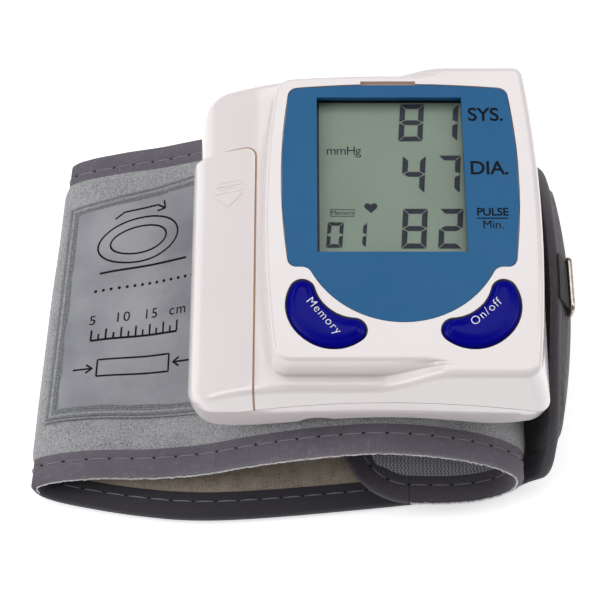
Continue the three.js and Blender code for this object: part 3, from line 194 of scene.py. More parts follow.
# Cuff: a row of its run has shares of its reach and rise and of cuff_forward. A row of rear_skews has the two
# ends of a stretch and how far back the strip's rear edge stands at each
cuff_reach = 70
cuff_rise = 26.5
cuff_width = 81
cuff_front = -42.6
cuff_forward = 5.6
cuff_cone = 4.5
cone_start_share = -0.4
rear_skews = ((-64, -36, -1.5, 1.8), (-30, 10, 1.8, 0))
tail_bow_share = 0.38
tail_bow_centre_share = 0.54
tail_from_share = 0.75
tail_pivot_share = 0.47
tail_taper_share = 0.06
tail_plain_x = 35
velour_thickness = 1.6
velour_wave = 0.06
velour_edge = 1.2
lining_thickness = 1.2
lining_wave = 0.05
lining_edge = 1.5
binding_width = 6
binding_thickness = 0.4
pinched_velour = 0.65
pinched_lining = 0.5
bladder_thickness = 2.2
bladder_shares = (0.21, 0.41)
seam_share = 0.44
flap_radius = 15
tail_radius_along = 28
tail_radius_across = 30
cuff_run_shares = (
    (-0.07, 0.2, 0.75), (0.12, 0.2, 0.8), (0.29, 0.2, 0.8), (0.405, 0.225, 0.6), (0.47, 0.33, 0.35),
    (0.472, 0.47, 0.2), (0.425, 0.61, 0.08), (0.35, 0.74, 0), (0.24, 0.89, 0), (0.13, 0.98, 0), (0.01, 1, 0),
    (-0.11, 0.93, 0), (-0.215, 0.84, 0), (-0.35, 0.68, 0), (-0.5, 0.47, 0), (-0.655, 0.37, 0),
    (-0.82, 0.36, 0), (-0.93, 0.33, 0.1), (-0.995, 0.235, 0.2), (-0.98, 0.13, 0.4), (-0.9, 0.06, 0.65),
    (-0.7, 0.06, 1.1), (-0.5, 0.06, 1.3), (0, 0.06, 0.85), (0.37, 0.06, 0.3), (0.48, 0.06, 0),
    (0.555, 0.13, -0.2), (0.61, 0.3, -0.2), (0.628, 0.53, -0.05), (0.626, 0.76, 0.1), (0.605, 1.02, 0.2),
    (0.577, 1.24, 0.2), (0.565, 1.32, 0.2),
)
ripple_lengths = (9.1, 13.7, 5.3, 8.9, 17, 4.1)
station_step = 1.4
station_room = 0.05
column_step = 1.6
crowding_share = 0.35

# Stitches, needle holes and loose fibres
stitch_pitch = 4.7
stitch_length = 3.9
stitch_inset = 4
stitch_radius = 0.13
stitch_groove = 0.25
groove_width = 0.3
pucker_height = 0.05
pucker_width = 1.6
groove_steps = (0.5, 0.25, 0, -0.25, -0.5)
binding_step = 1.3
stitch_line_step = 1
hole_radii = (0.34, 0.24)
hole_depth = 0.2
fray_radius = 0.2
fray_shares = (0.05, 0.52)
fray_step = 0.35
fray_out = 0.08

# Patch and its print, x to the right and y to the rear from the patch's left front corner
label_front = (13.4, 12.7)
label_rear = (67.1, 71.5)
label_width = 56
label_shares = (0.392, 0.505)
label_thickness = 0.12
label_swell = 0.25
label_edge = 0.8
label_wave = 0.035
patch_border = 2.8
line_width = 0.4
bold_width = 0.5
line_step = 0.8
print_lift = 0.05
ovals = ((17, 43, 9.5, 5.6), (17, 43, 6.6, 3.4))
arrow_paths = (
    [(11, 49.6), (13, 50.9), (21, 50.9), (23, 49.6)], [(23, 49.6), (20.9, 49.4)], [(23, 49.6), (22.6, 51.6)],
    [(10, 10), (10, 14), (26, 14), (26, 10), (10, 10)], [(5, 12), (9, 12)], [(27, 12), (31, 12)],
    [(7.6, 13), (9, 12), (7.6, 11)], [(28.4, 13), (27, 12), (28.4, 11)],
)
rule_path = [(8.5, 36), (29, 36)]
dot_start = (8, 31.5)
dot_pitch = 1.75
dot_radius = 0.36
dot_count = 14
scale_left = 8
scale_right = 27.5
scale_y = 19
scale_ticks = 12
long_tick = 2.6
short_tick = 1.5
scale_words = (("5", 0), ("10", 4), ("15", 8), ("cm", 12))
scale_word_size = 3.3
scale_word_rise = 5
patch_word_lift = 0.06
patch_word_sink = 0.04

# Ring and its tape
ring_length = 13
ring_drop = 4
ring_wire = 0.65
ring_corner = 0.9
tape_width = 10.8
tape_middle = 40.1
tape_thickness = 0.6
tape_start = 0.3
tape_length = 5

# Grain of the materials: sizes of their features, and how high these stand
mould_sizes = (30, 8, 16)
mould_relief = 0.01
metal_drift = 2
scratch_size = 0.25
glass_cloud = 14
glass_grain = 0.12
glass_relief = 0.002
smear_size = 6
tail_blend = 1.5
# Heights over which the binding darkens towards the table, as painted shade
table_shade_levels = (5, 9)
pile_size = 0.35
pile_relief = 0.35
velour_patches = 6
loop_size = 0.6
loop_relief = 0.18
fleece_size = 0.4
fleece_patches = 3
knit_column = 0.55
knit_row = 0.8
knit_wear = 5
knit_relief = 0.25
twill_rib = 0.55
twill_cross = 0.4
twill_wear = 1.2
twill_drift = 9
twill_relief = 0.16
twill_fuzz = 0.3
fuzz_relief = 0.08
border_wander = 9
wander_reach = 0.3
film_blur = 0.12
film_cloud = 14
film_wave = 7
film_relief = 0.5
chain_pitch = 1.1
chain_start = (1.3, 1)
groove_inset = 0.7
groove_blur = (0.1, 0.4)
border_pile = 0.5
border_relief = 0.3
fibre_sizes = {"tape": 0.4, "thread": 0.2, "fray": 0.5}
fibre_relief = 0.1
floor_drift = 80

# Floor, lights and camera: a light has its place, its sides and its power in watts
floor_reach = 1500
floor_drop = 0.05
floor_glow = 0.55
sky_strength = 0.19
light_target = (0, 0, 20)
lights = {
    "softbox_left": ((-420, -80, 420), (320, 520), 1.4),
    "softbox_right": ((420, 60, 380), (260, 420), 0.8),
    "softbox_top": ((0, 260, 620), (600, 400), 1.3),
}
view_target = (-14, -13.1, 38)
camera_elevation = math.radians(66)
camera_distance = 332.9
sensor_width = 36
focal_length = 96
clip_metres = 10

# Sampling
corner_steps = 14
side_steps = 30
arc_steps = 48
edge_steps = 8
curve_steps = 60
run_steps = 40
oval_steps = 40
thread_steps = 6
settling_rounds = 6

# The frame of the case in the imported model
glass_low, glass_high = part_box("lcd_glass")
shift = np.array([
    (glass_low.x + glass_high.x) / 2 - window_centre[0] * MM,
    (glass_low.y + glass_high.y) / 2 - window_centre[1] * MM,
    glass_high.z - glass_top * MM,
])
table_level = -shift[2] / MM
case_left, case_right = -case_width / 2, case_width / 2
case_front, case_rear = -case_length / 2, case_length / 2


def world(points):
    return np.asarray(points, float) * MM + shift


# Meshes

def link(name, data):
    piece = bpy.data.objects.new(name, data)
    bpy.context.scene.collection.objects.link(piece)
    return piece


def mesh_piece(name, points, faces, material, uv=None, smooth=True, sharp=None):
    mesh = bpy.data.meshes.new(name)
    mesh.from_pydata([tuple(p) for p in world(points)], [], [tuple(map(int, f)) for f in faces])
    if uv is not None:
        layer = mesh.uv_layers.new(name="flat")
        index = np.empty(len(mesh.loops), int)
        mesh.loops.foreach_get("vertex_index", index)
        layer.data.foreach_set("uv", np.asarray(uv, float)[index].ravel())
    mesh.materials.append(material)
    work = bmesh.new()
    work.from_mesh(mesh)
    bmesh.ops.remove_doubles(work, verts=work.verts, dist=merge_distance * MM)
    bmesh.ops.dissolve_degenerate(work, edges=work.edges, dist=merge_distance * MM / 2)
    bmesh.ops.recalc_face_normals(work, faces=work.faces)
    work.to_mesh(mesh)
    work.free()
    piece = link(name, mesh)
    if smooth:
        smooth_by_angle(piece, sharp)
    return piece


def smooth_by_angle(piece, degrees):
    mesh = piece.data
    mesh.polygons.foreach_set("use_smooth", [True] * len(mesh.polygons))
    if degrees:
        mesh.set_sharp_from_angle(angle=math.radians(degrees))


def rows_mesh(rows, ends="capped"):
    """Rings of points in a row, with the row's ends capped, joined to each other or left open"""
    rows = np.asarray(rows)
    count, around = rows.shape[:2]
    faces = []
    for i in range(count if ends == "joined" else count - 1):
        for j in range(around):
            k, n = (j + 1) % around, (i + 1) % count
            faces.append((i * around + j, i * around + k, n * around + k, n * around + j))
    if ends == "capped":
        faces += [tuple(range(around))[::-1], tuple(range((count - 1) * around, count * around))]
    return rows.reshape(-1, 3), faces


def joined(parts):
    """Points and faces of several bodies as those of one mesh"""
    points, faces = [], []
    for part_points, part_faces in parts:
        start = len(points)
        points += list(part_points)
        faces += [tuple(start + i for i in face) for face in part_faces]
    return points, faces


def evaluated_mesh(piece):
    bpy.context.view_layer.update()
    return bpy.data.meshes.new_from_object(piece.evaluated_get(bpy.context.evaluated_depsgraph_get()))


def combine(piece, other, operation="DIFFERENCE"):
    """Boolean of piece with other, which is used up"""
    step = piece.modifiers.new("step", "BOOLEAN")
    step.object = other
    step.operation = operation
    step.solver = "EXACT"
    result = evaluated_mesh(piece)
    piece.modifiers.clear()
    piece.data = result
    bpy.data.objects.remove(other)


def settle(piece, body, slot, *nodes):
    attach(piece, body)
    if nodes:
        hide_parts(*nodes)
    return piece


def with_height(plan, z):
    return np.column_stack([plan, np.broadcast_to(z, len(plan))])


def plate(outline, low, high):
    return rows_mesh([with_height(np.asarray(outline, float), z) for z in (low, high)])


def prism(name, outline, low, high, material):
    return mesh_piece(name, *plate(outline, low, high), material, smooth=False)


# Lines and outlines

def unit(vectors):
    return vectors / np.linalg.norm(vectors, axis=-1)[..., None]


def running(points):
    """Distance along a line at each of its points"""
    return np.r_[0, np.cumsum(np.linalg.norm(np.diff(points, axis=0), axis=1))]


def ease(value, low, high):
    t = np.clip((value - low) / (high - low), 0, 1)
    return t * t * (3 - 2 * t)


def quarter(steps=edge_steps):
    """Setback and drop along a quarter round, as shares of its radius"""
    turns = [math.pi / 2 * step / steps for step in range(1, steps + 1)]
    return [(1 - math.cos(turn), 1 - math.sin(turn)) for turn in turns]


def inward(outline):
    """Unit normals that point into an outline drawn anticlockwise"""
    way = unit(np.roll(outline, -1, axis=0) - np.roll(outline, 1, axis=0))
    return np.column_stack([-way[:, 1], way[:, 0]])


def arc(centre, radius, start, end, count=arc_steps):
    angle = np.linspace(start, end, count)
    return np.column_stack([centre[0] + radius * np.cos(angle), centre[1] + radius * np.sin(angle)])


def disc(centre, radius):
    return arc(centre, radius, 0, 2 * math.pi)[:-1]


def rectangle(left, right, front, rear):
    return [(left, front), (right, front), (right, rear), (left, rear)]


def grown(sides, by):
    left, right, front, rear = sides
    return left - by, right + by, front - by, rear + by


def bezier(points):
    t = np.linspace(0, 1, curve_steps)[:, None]
    order = len(points) - 1
    return sum(math.comb(order, i) * t ** i * (1 - t) ** (order - i) * np.array(point)
               for i, point in enumerate(points))


def rounded_rectangle(left, right, front, rear, radii, bows=(0, 0, 0, 0)):
    """Corner radii run front right, rear right, rear left, front left, and bows left, right, front, rear"""
    corners = ((right, front, -1, 1), (right, rear, -1, -1), (left, rear, 1, -1), (left, front, 1, 1))
    points = []
    for i, (x, y, in_x, in_y) in enumerate(corners):
        start = math.pi / 2 * (i - 1)
        points += list(arc((x + in_x * radii[i], y + in_y * radii[i]), radii[i], start, start + math.pi / 2,
                           corner_steps + 1))
        x, y, in_x, in_y = corners[(i + 1) % 4]
        reach = radii[(i + 1) % 4]
        goal = (x, y + in_y * reach) if i % 2 == 0 else (x + in_x * reach, y)
        points += list(np.linspace(points[-1], goal, side_steps + 1)[1:-1])
    points = np.array(points)
    across = (points[:, 0] - (left + right) / 2) / ((right - left) / 2)
    along = (points[:, 1] - (front + rear) / 2) / ((rear - front) / 2)
    points[:, 0] += np.where(across > 0, bows[1], bows[0]) * across * (1 - along ** 2)
    points[:, 1] += np.where(along > 0, bows[3], bows[2]) * along * (1 - across ** 2)
    return points


# Case surfaces

def case_plans(inset, left):
    """Plans of the case at its low, waist and high level"""
    levels = ((foot_draft,) * 3 + (0,), (0, 0, 0, 0), (side_draft, front_draft, rear_draft, 1))
    radii = [radius - inset / 2 for radius in corner_radii]
    plans = []
    for side, front, rear, bowed in levels:
        right = case_right - side - inset - bowed * side_bow
        plan = rounded_rectangle(left + inset, right, case_front + front + inset, case_rear - rear - inset,
                                 radii, (0, bowed * side_bow, 0, 0))
        plan[:, 1] -= np.where(plan[:, 1] > 0, rear_dip * ease(-plan[:, 0], *rear_dip_span), 0)
        plans.append(plan)
    return plans


def plan_at(plans, z):
    z = np.asarray(z, float)[:, None]
    lower = plans[0] + (plans[1] - plans[0]) * (z - low_level) / (waist_level - low_level)
    upper = plans[1] + (plans[2] - plans[1]) * (z - waist_level) / (high_level - waist_level)
    return np.where(z < waist_level, lower, upper)


def parting_at(x):
    return parting_top - parting_radius + np.sqrt(parting_radius ** 2 - (x - arch[0]) ** 2)


def roof_at(x, inset, left):
    """Height of the case's upper side, without the raised head"""
    centre_x = case_left + shoulder_radius_x
    turn = np.clip((centre_x - x) / (centre_x - left - inset), 0, 1)
    shoulder = ledge_height - shoulder_radius_z + (shoulder_radius_z - inset) * np.sqrt(1 - turn ** 2)
    rise = (1 - np.cos(math.pi * np.clip((x - sweep_start) / (sweep_end - sweep_start), 0, 1))) / 2
    return np.where(x < centre_x, shoulder, ledge_height + (head_top - ledge_height) * rise - inset)


def floor_at(x, inset=0):
    """Height of the case's underside: two lobes and the arch between them"""
    left, right = case_left + inset, case_right - inset
    lobe_left, lobe_right, crown = (place[1] + inset for place in (left_lobe, right_lobe, arch))
    reach_left = (arch[0] - left_lobe[0]) / arch_pull
    reach_right = (right_lobe[0] - arch[0]) / arch_pull
    curve = np.vstack([bezier(points) for points in (
        [(left, side_low), (left + (left_lobe[0] - left) / 4, lobe_left), (left_lobe[0], lobe_left)],
        [(left_lobe[0], lobe_left), (left_lobe[0] + reach_left / 2, lobe_left), (arch[0] - reach_left, crown),
         (arch[0], crown)],
        [(arch[0], crown), (arch[0] + reach_right, crown), (right_lobe[0] - reach_right / 2, lobe_right),
         (right_lobe[0], lobe_right)],
        [(right_lobe[0], lobe_right), (right - (right - right_lobe[0]) / 4, lobe_right),
         (right, side_low + case_wall)],
    )])
    return np.interp(x, curve[:, 0], curve[:, 1])


def head_plan(inset):
    return rounded_rectangle(*grown(head_sides, -inset), [head_radius] * 4, head_bows)


def toward_middle(plan, z_at, count=6):
    """Rows from an outline to a small loop in the middle"""
    goal = np.column_stack([np.clip(plan[:, 0], case_left / 2, case_right / 2), np.sign(plan[:, 1])])
    rows = []
    for step in range(1, count + 1):
        place = plan + (goal - plan) * step / count
        rows.append(with_height(place, z_at(place[:, 0])))
    return rows


def wall_rows(plans, parting_offset, surface, way):
    """Rows from the parting's face up (way 1) or down (way -1) the wall and round the edge to a surface"""
    start = plan_at(plans, np.full(len(plans[0]), float(waist_level)))
    parting = parting_at(start[:, 0]) + parting_offset
    end = surface(start[:, 0]) - way * edge_radius
    for _ in range(settling_rounds):
        end = surface(plan_at(plans, end)[:, 0]) - way * edge_radius
    end = way * np.maximum(way * end, way * parting + gap)
    rows = toward_middle(plan_at(plans, parting), lambda x: parting_at(x) + parting_offset)[::-1]
    for share in np.linspace(0, 1, 7):
        z = parting + (end - parting) * share
        rows.append(with_height(plan_at(plans, z), z))
    edge = plan_at(plans, end)
    normal = inward(edge)
    for back, drop in quarter():
        place = edge + normal * edge_radius * back
        rows.append(with_height(place, surface(place[:, 0]) - way * edge_radius * drop))
    return rows


def upper_shell(name, inset, left, top, material):
    """The upper case half as one closed smooth body, with its head's side and top"""
    def roof(x):
        return roof_at(x, inset, left)

    rows = wall_rows(case_plans(inset, left), parting_gap / 2 if inset == 0 else -3 * case_wall, roof, 1)
    inner_edge = rows[-1][:, :2]
    foot = head_plan(inset - head_draft)
    crown = head_plan(inset)
    outwards = -inward(foot)
    height = np.maximum(top - roof(foot[:, 0]), 0)
    toe = np.minimum(foot_radius, height * toe_share)
    brow = np.minimum(head_edge, height * brow_share)
    toe_line = foot + outwards * toe[:, None]
    for step in range(1, 13):
        place = inner_edge + (toe_line - inner_edge) * step / 12
        rows.append(with_height(place, np.minimum(roof(place[:, 0]), top)))
    for rise, back in quarter(5):
        place = foot + outwards * (toe * back)[:, None]
        rows.append(with_height(place, np.minimum(roof(place[:, 0]), top) + toe * rise))
    base = np.minimum(roof(foot[:, 0]), top) + toe
    for share in (0.25, 0.5, 0.75, 1):
        rows.append(with_height(foot + (crown - foot) * share, base + (top - brow - base) * share))
    normal = inward(crown)
    for back, drop in quarter(7):
        rows.append(with_height(crown + normal * (brow * back)[:, None], top - brow * drop))
    return mesh_piece(name, *rows_mesh(rows), material, smooth=False)


def stepped(plan, inset):
    """The plan, narrower on its left behind the battery cover"""
    place = cover_rear - inset
    straight = np.abs(plan[:, 1]) < case_rear - corner_radii[2] - inset
    left = np.where((plan[:, 0] < case_left / 2) & straight)[0]
    last = left[plan[left, 1] > place][-1]
    plan = plan.copy()
    plan[last:last + 2, 1] = place
    behind = (plan[:, 1] > place) & (plan[:, 0] < 0) | (np.arange(len(plan)) == last)
    plan[:, 0] += np.where(behind, shoulder_step * ease(-plan[:, 0], 0, -case_left / 2), 0)
    return plan


def lower_shell(name, inset, material):
    """The lower case half as one closed smooth body"""
    def floor(x):
        return floor_at(x, inset)

    plans = [stepped(plan, inset) for plan in case_plans(inset, case_left)]
    rows = wall_rows(plans, -parting_gap / 2 if inset == 0 else 3 * case_wall, floor, -1)
    rows += toward_middle(rows[-1][:, :2], floor, 14)
    return mesh_piece(name, *rows_mesh(rows), material, smooth=False)


def panel_outline(room):
    """The bezel's sheet: a bowed rectangle that runs out into a round chin"""
    sides = grown(panel_sides, room)
    front = sides[2]
    box = rounded_rectangle(*sides, [panel_radius] * 4, panel_bows)
    radius = chin_radius + room
    drop = key_centre[1] - front + chin_fillet
    reach = math.sqrt((radius + chin_fillet) ** 2 - drop ** 2)
    turn = math.atan2(drop, reach)
    fillet_y = front - chin_fillet
    chin = np.vstack([
        arc((key_centre[0] - reach, fillet_y), chin_fillet, math.pi / 2, turn, 9),
        arc(key_centre, radius, math.pi + turn, 2 * math.pi - turn),
        arc((key_centre[0] + reach, fillet_y), chin_fillet, math.pi - turn, math.pi / 2, 9),
    ])
    keep = (box[:, 1] > key_centre[1] - chin_radius / 4) | (np.abs(box[:, 0] - key_centre[0]) > reach)
    order = np.where(keep)[0]
    first = order[np.argmax(np.diff(np.r_[order[-1] - len(box), order]))]
    return np.vstack([chin, box[np.r_[order[order >= first], order[order < first]]]])


def key_spine(angle):
    """Middle line of a key, bent round the chin, and its share of the sweep"""
    share = np.linspace(-1, 1, arc_steps)
    at = angle + key_half_sweep * share
    radius = key_radius - key_drop * np.abs(share) ** key_power
    return np.column_stack([radius * np.cos(at), radius * np.sin(at)]) + key_centre, share


def key_outline(angle, room):
    """Outline round circles that run along the middle line and shrink to its ends"""
    spine, share = key_spine(angle)
    way = np.gradient(spine, axis=0)
    speed = np.linalg.norm(way, axis=1)[:, None]
    way /= speed
    side = np.column_stack([way[:, 1], -way[:, 0]])
    half = (key_half_width - key_taper * np.abs(share) ** key_power + room)[:, None]
    slope = np.gradient(half, axis=0) / speed
    level = np.sqrt(1 - slope ** 2)
    caps = []
    for end, sign in ((-1, 1), (0, -1)):
        first = math.asin(-sign * slope[end, 0])
        turn = np.linspace(first, math.pi - first, arc_steps)[1:-1, None]
        caps.append(half[end] * sign * (side[end] * np.cos(turn) + way[end] * np.sin(turn)) + spine[end])
    far = spine + half * (side * level - way * slope)
    near = spine - half * (side * level + way * slope)
    return np.vstack([far, caps[0], near[::-1], caps[1]])


# Materials

def linear(red, green, blue):
    return tuple(c / 12.92 if c <= 0.04045 else ((c + 0.055) / 1.055) ** 2.4
                 for c in (red / 255, green / 255, blue / 255)) + (1,)


class Paint:
    """A Principled material with helpers that add and link nodes"""

    def __init__(self, name, colour, roughness, metallic=0, **sockets):
        self.material = bpy.data.materials.new(name)
        self.material.use_nodes = True
        self.tree = self.material.node_tree
        self.shader = next(n for n in self.tree.nodes if n.type == "BSDF_PRINCIPLED")
        sockets.update(Base_Color=linear(*colour), Roughness=roughness, Metallic=metallic)
        for socket, value in sockets.items():
            self.shader.inputs[socket.replace("_", " ")].default_value = value

    def node(self, kind, inputs=None, **settings):
        node = self.tree.nodes.new(kind)
        for key, value in settings.items():
            setattr(node, key, value)
        for key, value in (inputs or {}).items():
            if isinstance(value, bpy.types.NodeSocket):
                self.tree.links.new(value, node.inputs[key])
            else:
                node.inputs[key].default_value = value
        return node

    def math(self, operation, a, b=0.0, c=0.0):
        return self.node("ShaderNodeMath", {0: a, 1: b, 2: c}, operation=operation).outputs[0]

    def wave(self, value, pitch):
        return self.math("SINE", self.math("MULTIPLY", value, 2 * math.pi / pitch))

    def place(self):
        return self.node("ShaderNodeTexCoord").outputs["Object"]

    def parts(self, vector):
        return self.node("ShaderNodeSeparateXYZ", {0: vector}).outputs

    def flat(self):
        """The two coordinates of a cloth laid flat"""
        return self.parts(self.node("ShaderNodeUVMap", uv_map="flat").outputs["UV"])

    def noise(self, size, detail):
        """Noise whose features are about size millimetres"""
        inputs = {"Vector": self.place(), "Scale": 1 / (size * MM), "Detail": detail}
        return self.node("ShaderNodeTexNoise", inputs).outputs[0]

    def ramp(self, value, low, high, first=0.0, last=1.0):
        inputs = {"Value": value, "From Min": low, "From Max": high, "To Min": first, "To Max": last}
        return self.node("ShaderNodeMapRange", inputs).outputs[0]

    def drift(self, size, detail, half, first=0.0, last=1.0):
        """Noise spread over the whole range; half is the half width of its middle part"""
        return self.ramp(self.noise(size, detail), 0.5 - half, 0.5 + half, first, last)

    def mix(self, factor, first, second):
        first, second = (linear(*tone) if isinstance(tone, tuple) else tone for tone in (first, second))
        return self.node("ShaderNodeMix", {0: factor, 6: first, 7: second}, data_type="RGBA").outputs[2]

    def bump(self, height, distance):
        """Bump of a height from 0 to 1 that stands for distance millimetres"""
        normal = self.shader.inputs["Normal"]
        node = self.node("ShaderNodeBump", {"Height": height, "Distance": distance * MM, "Strength": 1.0})
        if normal.is_linked:
            self.tree.links.new(normal.links[0].from_socket, node.inputs["Normal"])
        self.tree.links.new(node.outputs[0], normal)

    def set(self, socket, value):
        self.tree.links.new(value, self.shader.inputs[socket])

    def coat(self, factor, first, second):
        self.set("Base Color", self.mix(factor, first, second))


def moulded(name, colour, shade, roughness, **sockets):
    """Moulded plastic: slow drift of colour and gloss and faint waves in the surface"""
    paint = Paint(name, colour, roughness, **sockets)
    drift_size, gloss_size, wave_size = mould_sizes
    paint.coat(paint.drift(drift_size, 2, 0.2), colour, shade)
    paint.set("Roughness", paint.drift(gloss_size, 2, 0.2, roughness * 0.9, roughness * 1.1))
    paint.bump(paint.noise(wave_size, 1), mould_relief)
    return paint.material


def metal(name, colour, shade, roughness):
    """Metal with a drift of colour and fine scratches"""
    paint = Paint(name, colour, roughness, 1)
    paint.coat(paint.drift(metal_drift, 4, 0.15), colour, shade)
    scratches = paint.noise(scratch_size, 6)
    paint.set("Roughness", paint.ramp(scratches, 0.3, 0.7, roughness * 0.6, roughness * 1.5))
    paint.bump(scratches, mould_relief)
    return paint.material


def cloth(name, colour, shade, size):
    paint = Paint(name, colour, 0.9, Sheen_Weight=0.15)
    fibres = paint.noise(size, 5)
    paint.coat(paint.ramp(fibres, 0.35, 0.65), colour, shade)
    paint.bump(fibres, fibre_relief)
    return paint.material


def display_paint():
    paint = Paint("display_glass", (122, 138, 122), 0.3)
    paint.coat(paint.drift(glass_cloud, 3, 0.2), (145, 164, 146), (136, 155, 138))
    paint.bump(paint.noise(glass_grain, 1), glass_relief)
    return paint.material


def lens_paint():
    paint = Paint("clear_plastic", (16, 20, 18), 0.04, Alpha=0.06)
    paint.set("Roughness", paint.drift(smear_size, 3, 0.2, 0.03, 0.08))
    return paint.material


def tail_share(paint):
    """1 on the tail that stands beside the case, 0 elsewhere"""
    start = tail_plain_x * MM + shift[0]
    return paint.ramp(paint.parts(paint.place())[0], start - tail_blend * MM, start + tail_blend * MM)


def table_shade_share(paint):
    """Painted shade: 1 on the layers that lie on the table, 0 on the upper layer"""
    low, high = table_shade_levels
    return paint.ramp(paint.parts(paint.place())[2], low * MM, high * MM, 1.0, 0.0)


def velour_paint():
    """Short pile with worn patches and the dots of its loops"""
    paint = Paint("velour", (150, 153, 160), 0.95, Sheen_Weight=0.35, Sheen_Roughness=0.5)
    pile = paint.noise(pile_size, 4)
    inputs = {"Vector": paint.place(), "Scale": 1 / (loop_size * MM)}
    loops = paint.node("ShaderNodeTexVoronoi", inputs).outputs["Distance"]
    base = paint.mix(paint.drift(velour_patches, 3, 0.15), (150, 150, 154), (168, 168, 171))
    fuzzy = paint.mix(paint.ramp(pile, 0.42, 0.6, 0.0, 0.7), base, (206, 207, 210))
    dotted = paint.mix(paint.ramp(loops, 0.12, 0.34, 0.55, 0.0), fuzzy, (84, 86, 92))
    tail = paint.mix(paint.ramp(pile, 0.4, 0.62), (66, 62, 68), (102, 97, 103))
    paint.coat(tail_share(paint), dotted, tail)
    paint.bump(pile, pile_relief)
    paint.bump(loops, loop_relief)
    return paint.material


def fleece_paint():
    paint = Paint("fleece", (104, 98, 76), 0.97, Sheen_Weight=0.3, Sheen_Roughness=0.6)
    pile = paint.noise(fleece_size, 4)
    base = paint.mix(paint.drift(fleece_patches, 4, 0.15), (164, 148, 130), (194, 180, 162))
    lit = paint.mix(paint.ramp(pile, 0.42, 0.66, 0.0, 0.6), base, (214, 202, 184))
    paint.coat(tail_share(paint), lit, (58, 55, 56))
    paint.bump(pile, fleece_size)
    return paint.material


def knit_paint():
    """Rows of small chevrons that follow the strip"""
    paint = Paint("knit", (150, 150, 155), 0.85, Sheen_Weight=0.2)
    parts = paint.flat()
    column = paint.math("PINGPONG", paint.math("DIVIDE", parts[1], knit_column), 1.0)
    row = paint.math("ADD", paint.math("DIVIDE", parts[0], knit_row), paint.math("MULTIPLY", column, 0.6))
    chevron = paint.ramp(paint.wave(row, 1), -1, 1)
    ridge = paint.ramp(paint.wave(column, 2), 0, 1, 0.3, 1.0)
    height = paint.math("MULTIPLY", chevron, ridge)
    shade = paint.mix(paint.ramp(height, 0.1, 0.7), (112, 114, 122), (226, 227, 232))
    paint.coat(paint.drift(knit_wear, 3, 0.15, 0.0, 0.5), shade, (176, 177, 184))
    paint.bump(height, knit_relief)
    return paint.material


def twill_paint(name, lit, dim, edge):
    """Diagonal ribs of a sewn tape; uv is distance along the tape and across it"""
    paint = Paint(name, lit, 0.88, Sheen_Weight=0.25, Sheen_Roughness=0.45)
    parts = paint.flat()
    rib = paint.wave(paint.math("ADD", parts[0], parts[1]), twill_rib)
    cross = paint.math("MULTIPLY", paint.wave(parts[0], twill_cross), 0.4)
    weave = paint.ramp(paint.math("ADD", rib, cross), -1.3, 1.3)
    wear = paint.ramp(paint.noise(twill_wear, 5), 0.55, 0.8, 0.0, 0.35)
    worn = paint.mix(wear, paint.mix(weave, dim, lit), edge)
    upper = paint.mix(paint.drift(twill_drift, 3, 0.15, 0.0, 0.2), worn, dim)
    # On the lower layers the binding takes a darker copy of its weave: painted shade near the table
    whole = paint.mix(table_shade_share(paint), upper, paint.mix(weave, (50, 47, 55), (80, 76, 85)))
    tail = paint.mix(weave, (54, 50, 57), (96, 90, 99))
    paint.coat(tail_share(paint), whole, tail)
    paint.bump(weave, twill_relief)
    paint.bump(paint.noise(twill_fuzz, 3), fuzz_relief)
    return paint.material


def patch_paint():
    """Printed film with an embossed knitted border; uv runs in millimetres from the patch's corner"""
    paint = Paint("patch_film", (160, 165, 179), 0.45)
    along, across = paint.flat()[:2]
    length = (label_shares[1] - label_shares[0]) * run_length
    sides = paint.math("MINIMUM", across, paint.math("SUBTRACT", label_width, across))
    near = paint.math("MINIMUM", paint.math("SUBTRACT", length, along), sides)
    wander = paint.math("ADD", near, paint.drift(border_wander, 1, 0.2, -wander_reach, wander_reach))
    film = paint.ramp(wander, patch_border - film_blur, patch_border + film_blur)
    film_colour = paint.mix(paint.drift(film_cloud, 3, 0.15), (140, 141, 148), (164, 165, 171))
    waves = [paint.wave(paint.math(way, along, across), chain_pitch) for way in ("ADD", "SUBTRACT")]
    chain = paint.math("MULTIPLY", paint.ramp(paint.math("MULTIPLY", *waves), -0.6, 0.6),
                       paint.ramp(near, *(patch_border - inset for inset in chain_start)))
    # The knitted border's chain is its own pattern; the dark line along its groove is painted shade
    groove_distance = paint.math("ABSOLUTE", paint.math("SUBTRACT", near, groove_inset))
    rib = paint.math("MAXIMUM", chain, paint.ramp(groove_distance, *groove_blur, 1.0, 0.0))
    pile = paint.mix(paint.ramp(paint.noise(border_pile, 4), 0.4, 0.6), (146, 148, 152), (172, 173, 177))
    border = paint.mix(paint.math("MULTIPLY", rib, 0.5), pile, (88, 91, 100))
    paint.coat(film, border, film_colour)
    paint.set("Roughness", paint.ramp(film, 0, 1, 0.9, 0.3))
    border_rib = paint.math("MULTIPLY", rib, paint.math("SUBTRACT", 1.0, film))
    paint.bump(paint.math("ADD", film, border_rib), border_relief)
    paint.bump(paint.noise(film_wave, 3), film_relief)
    return paint.material


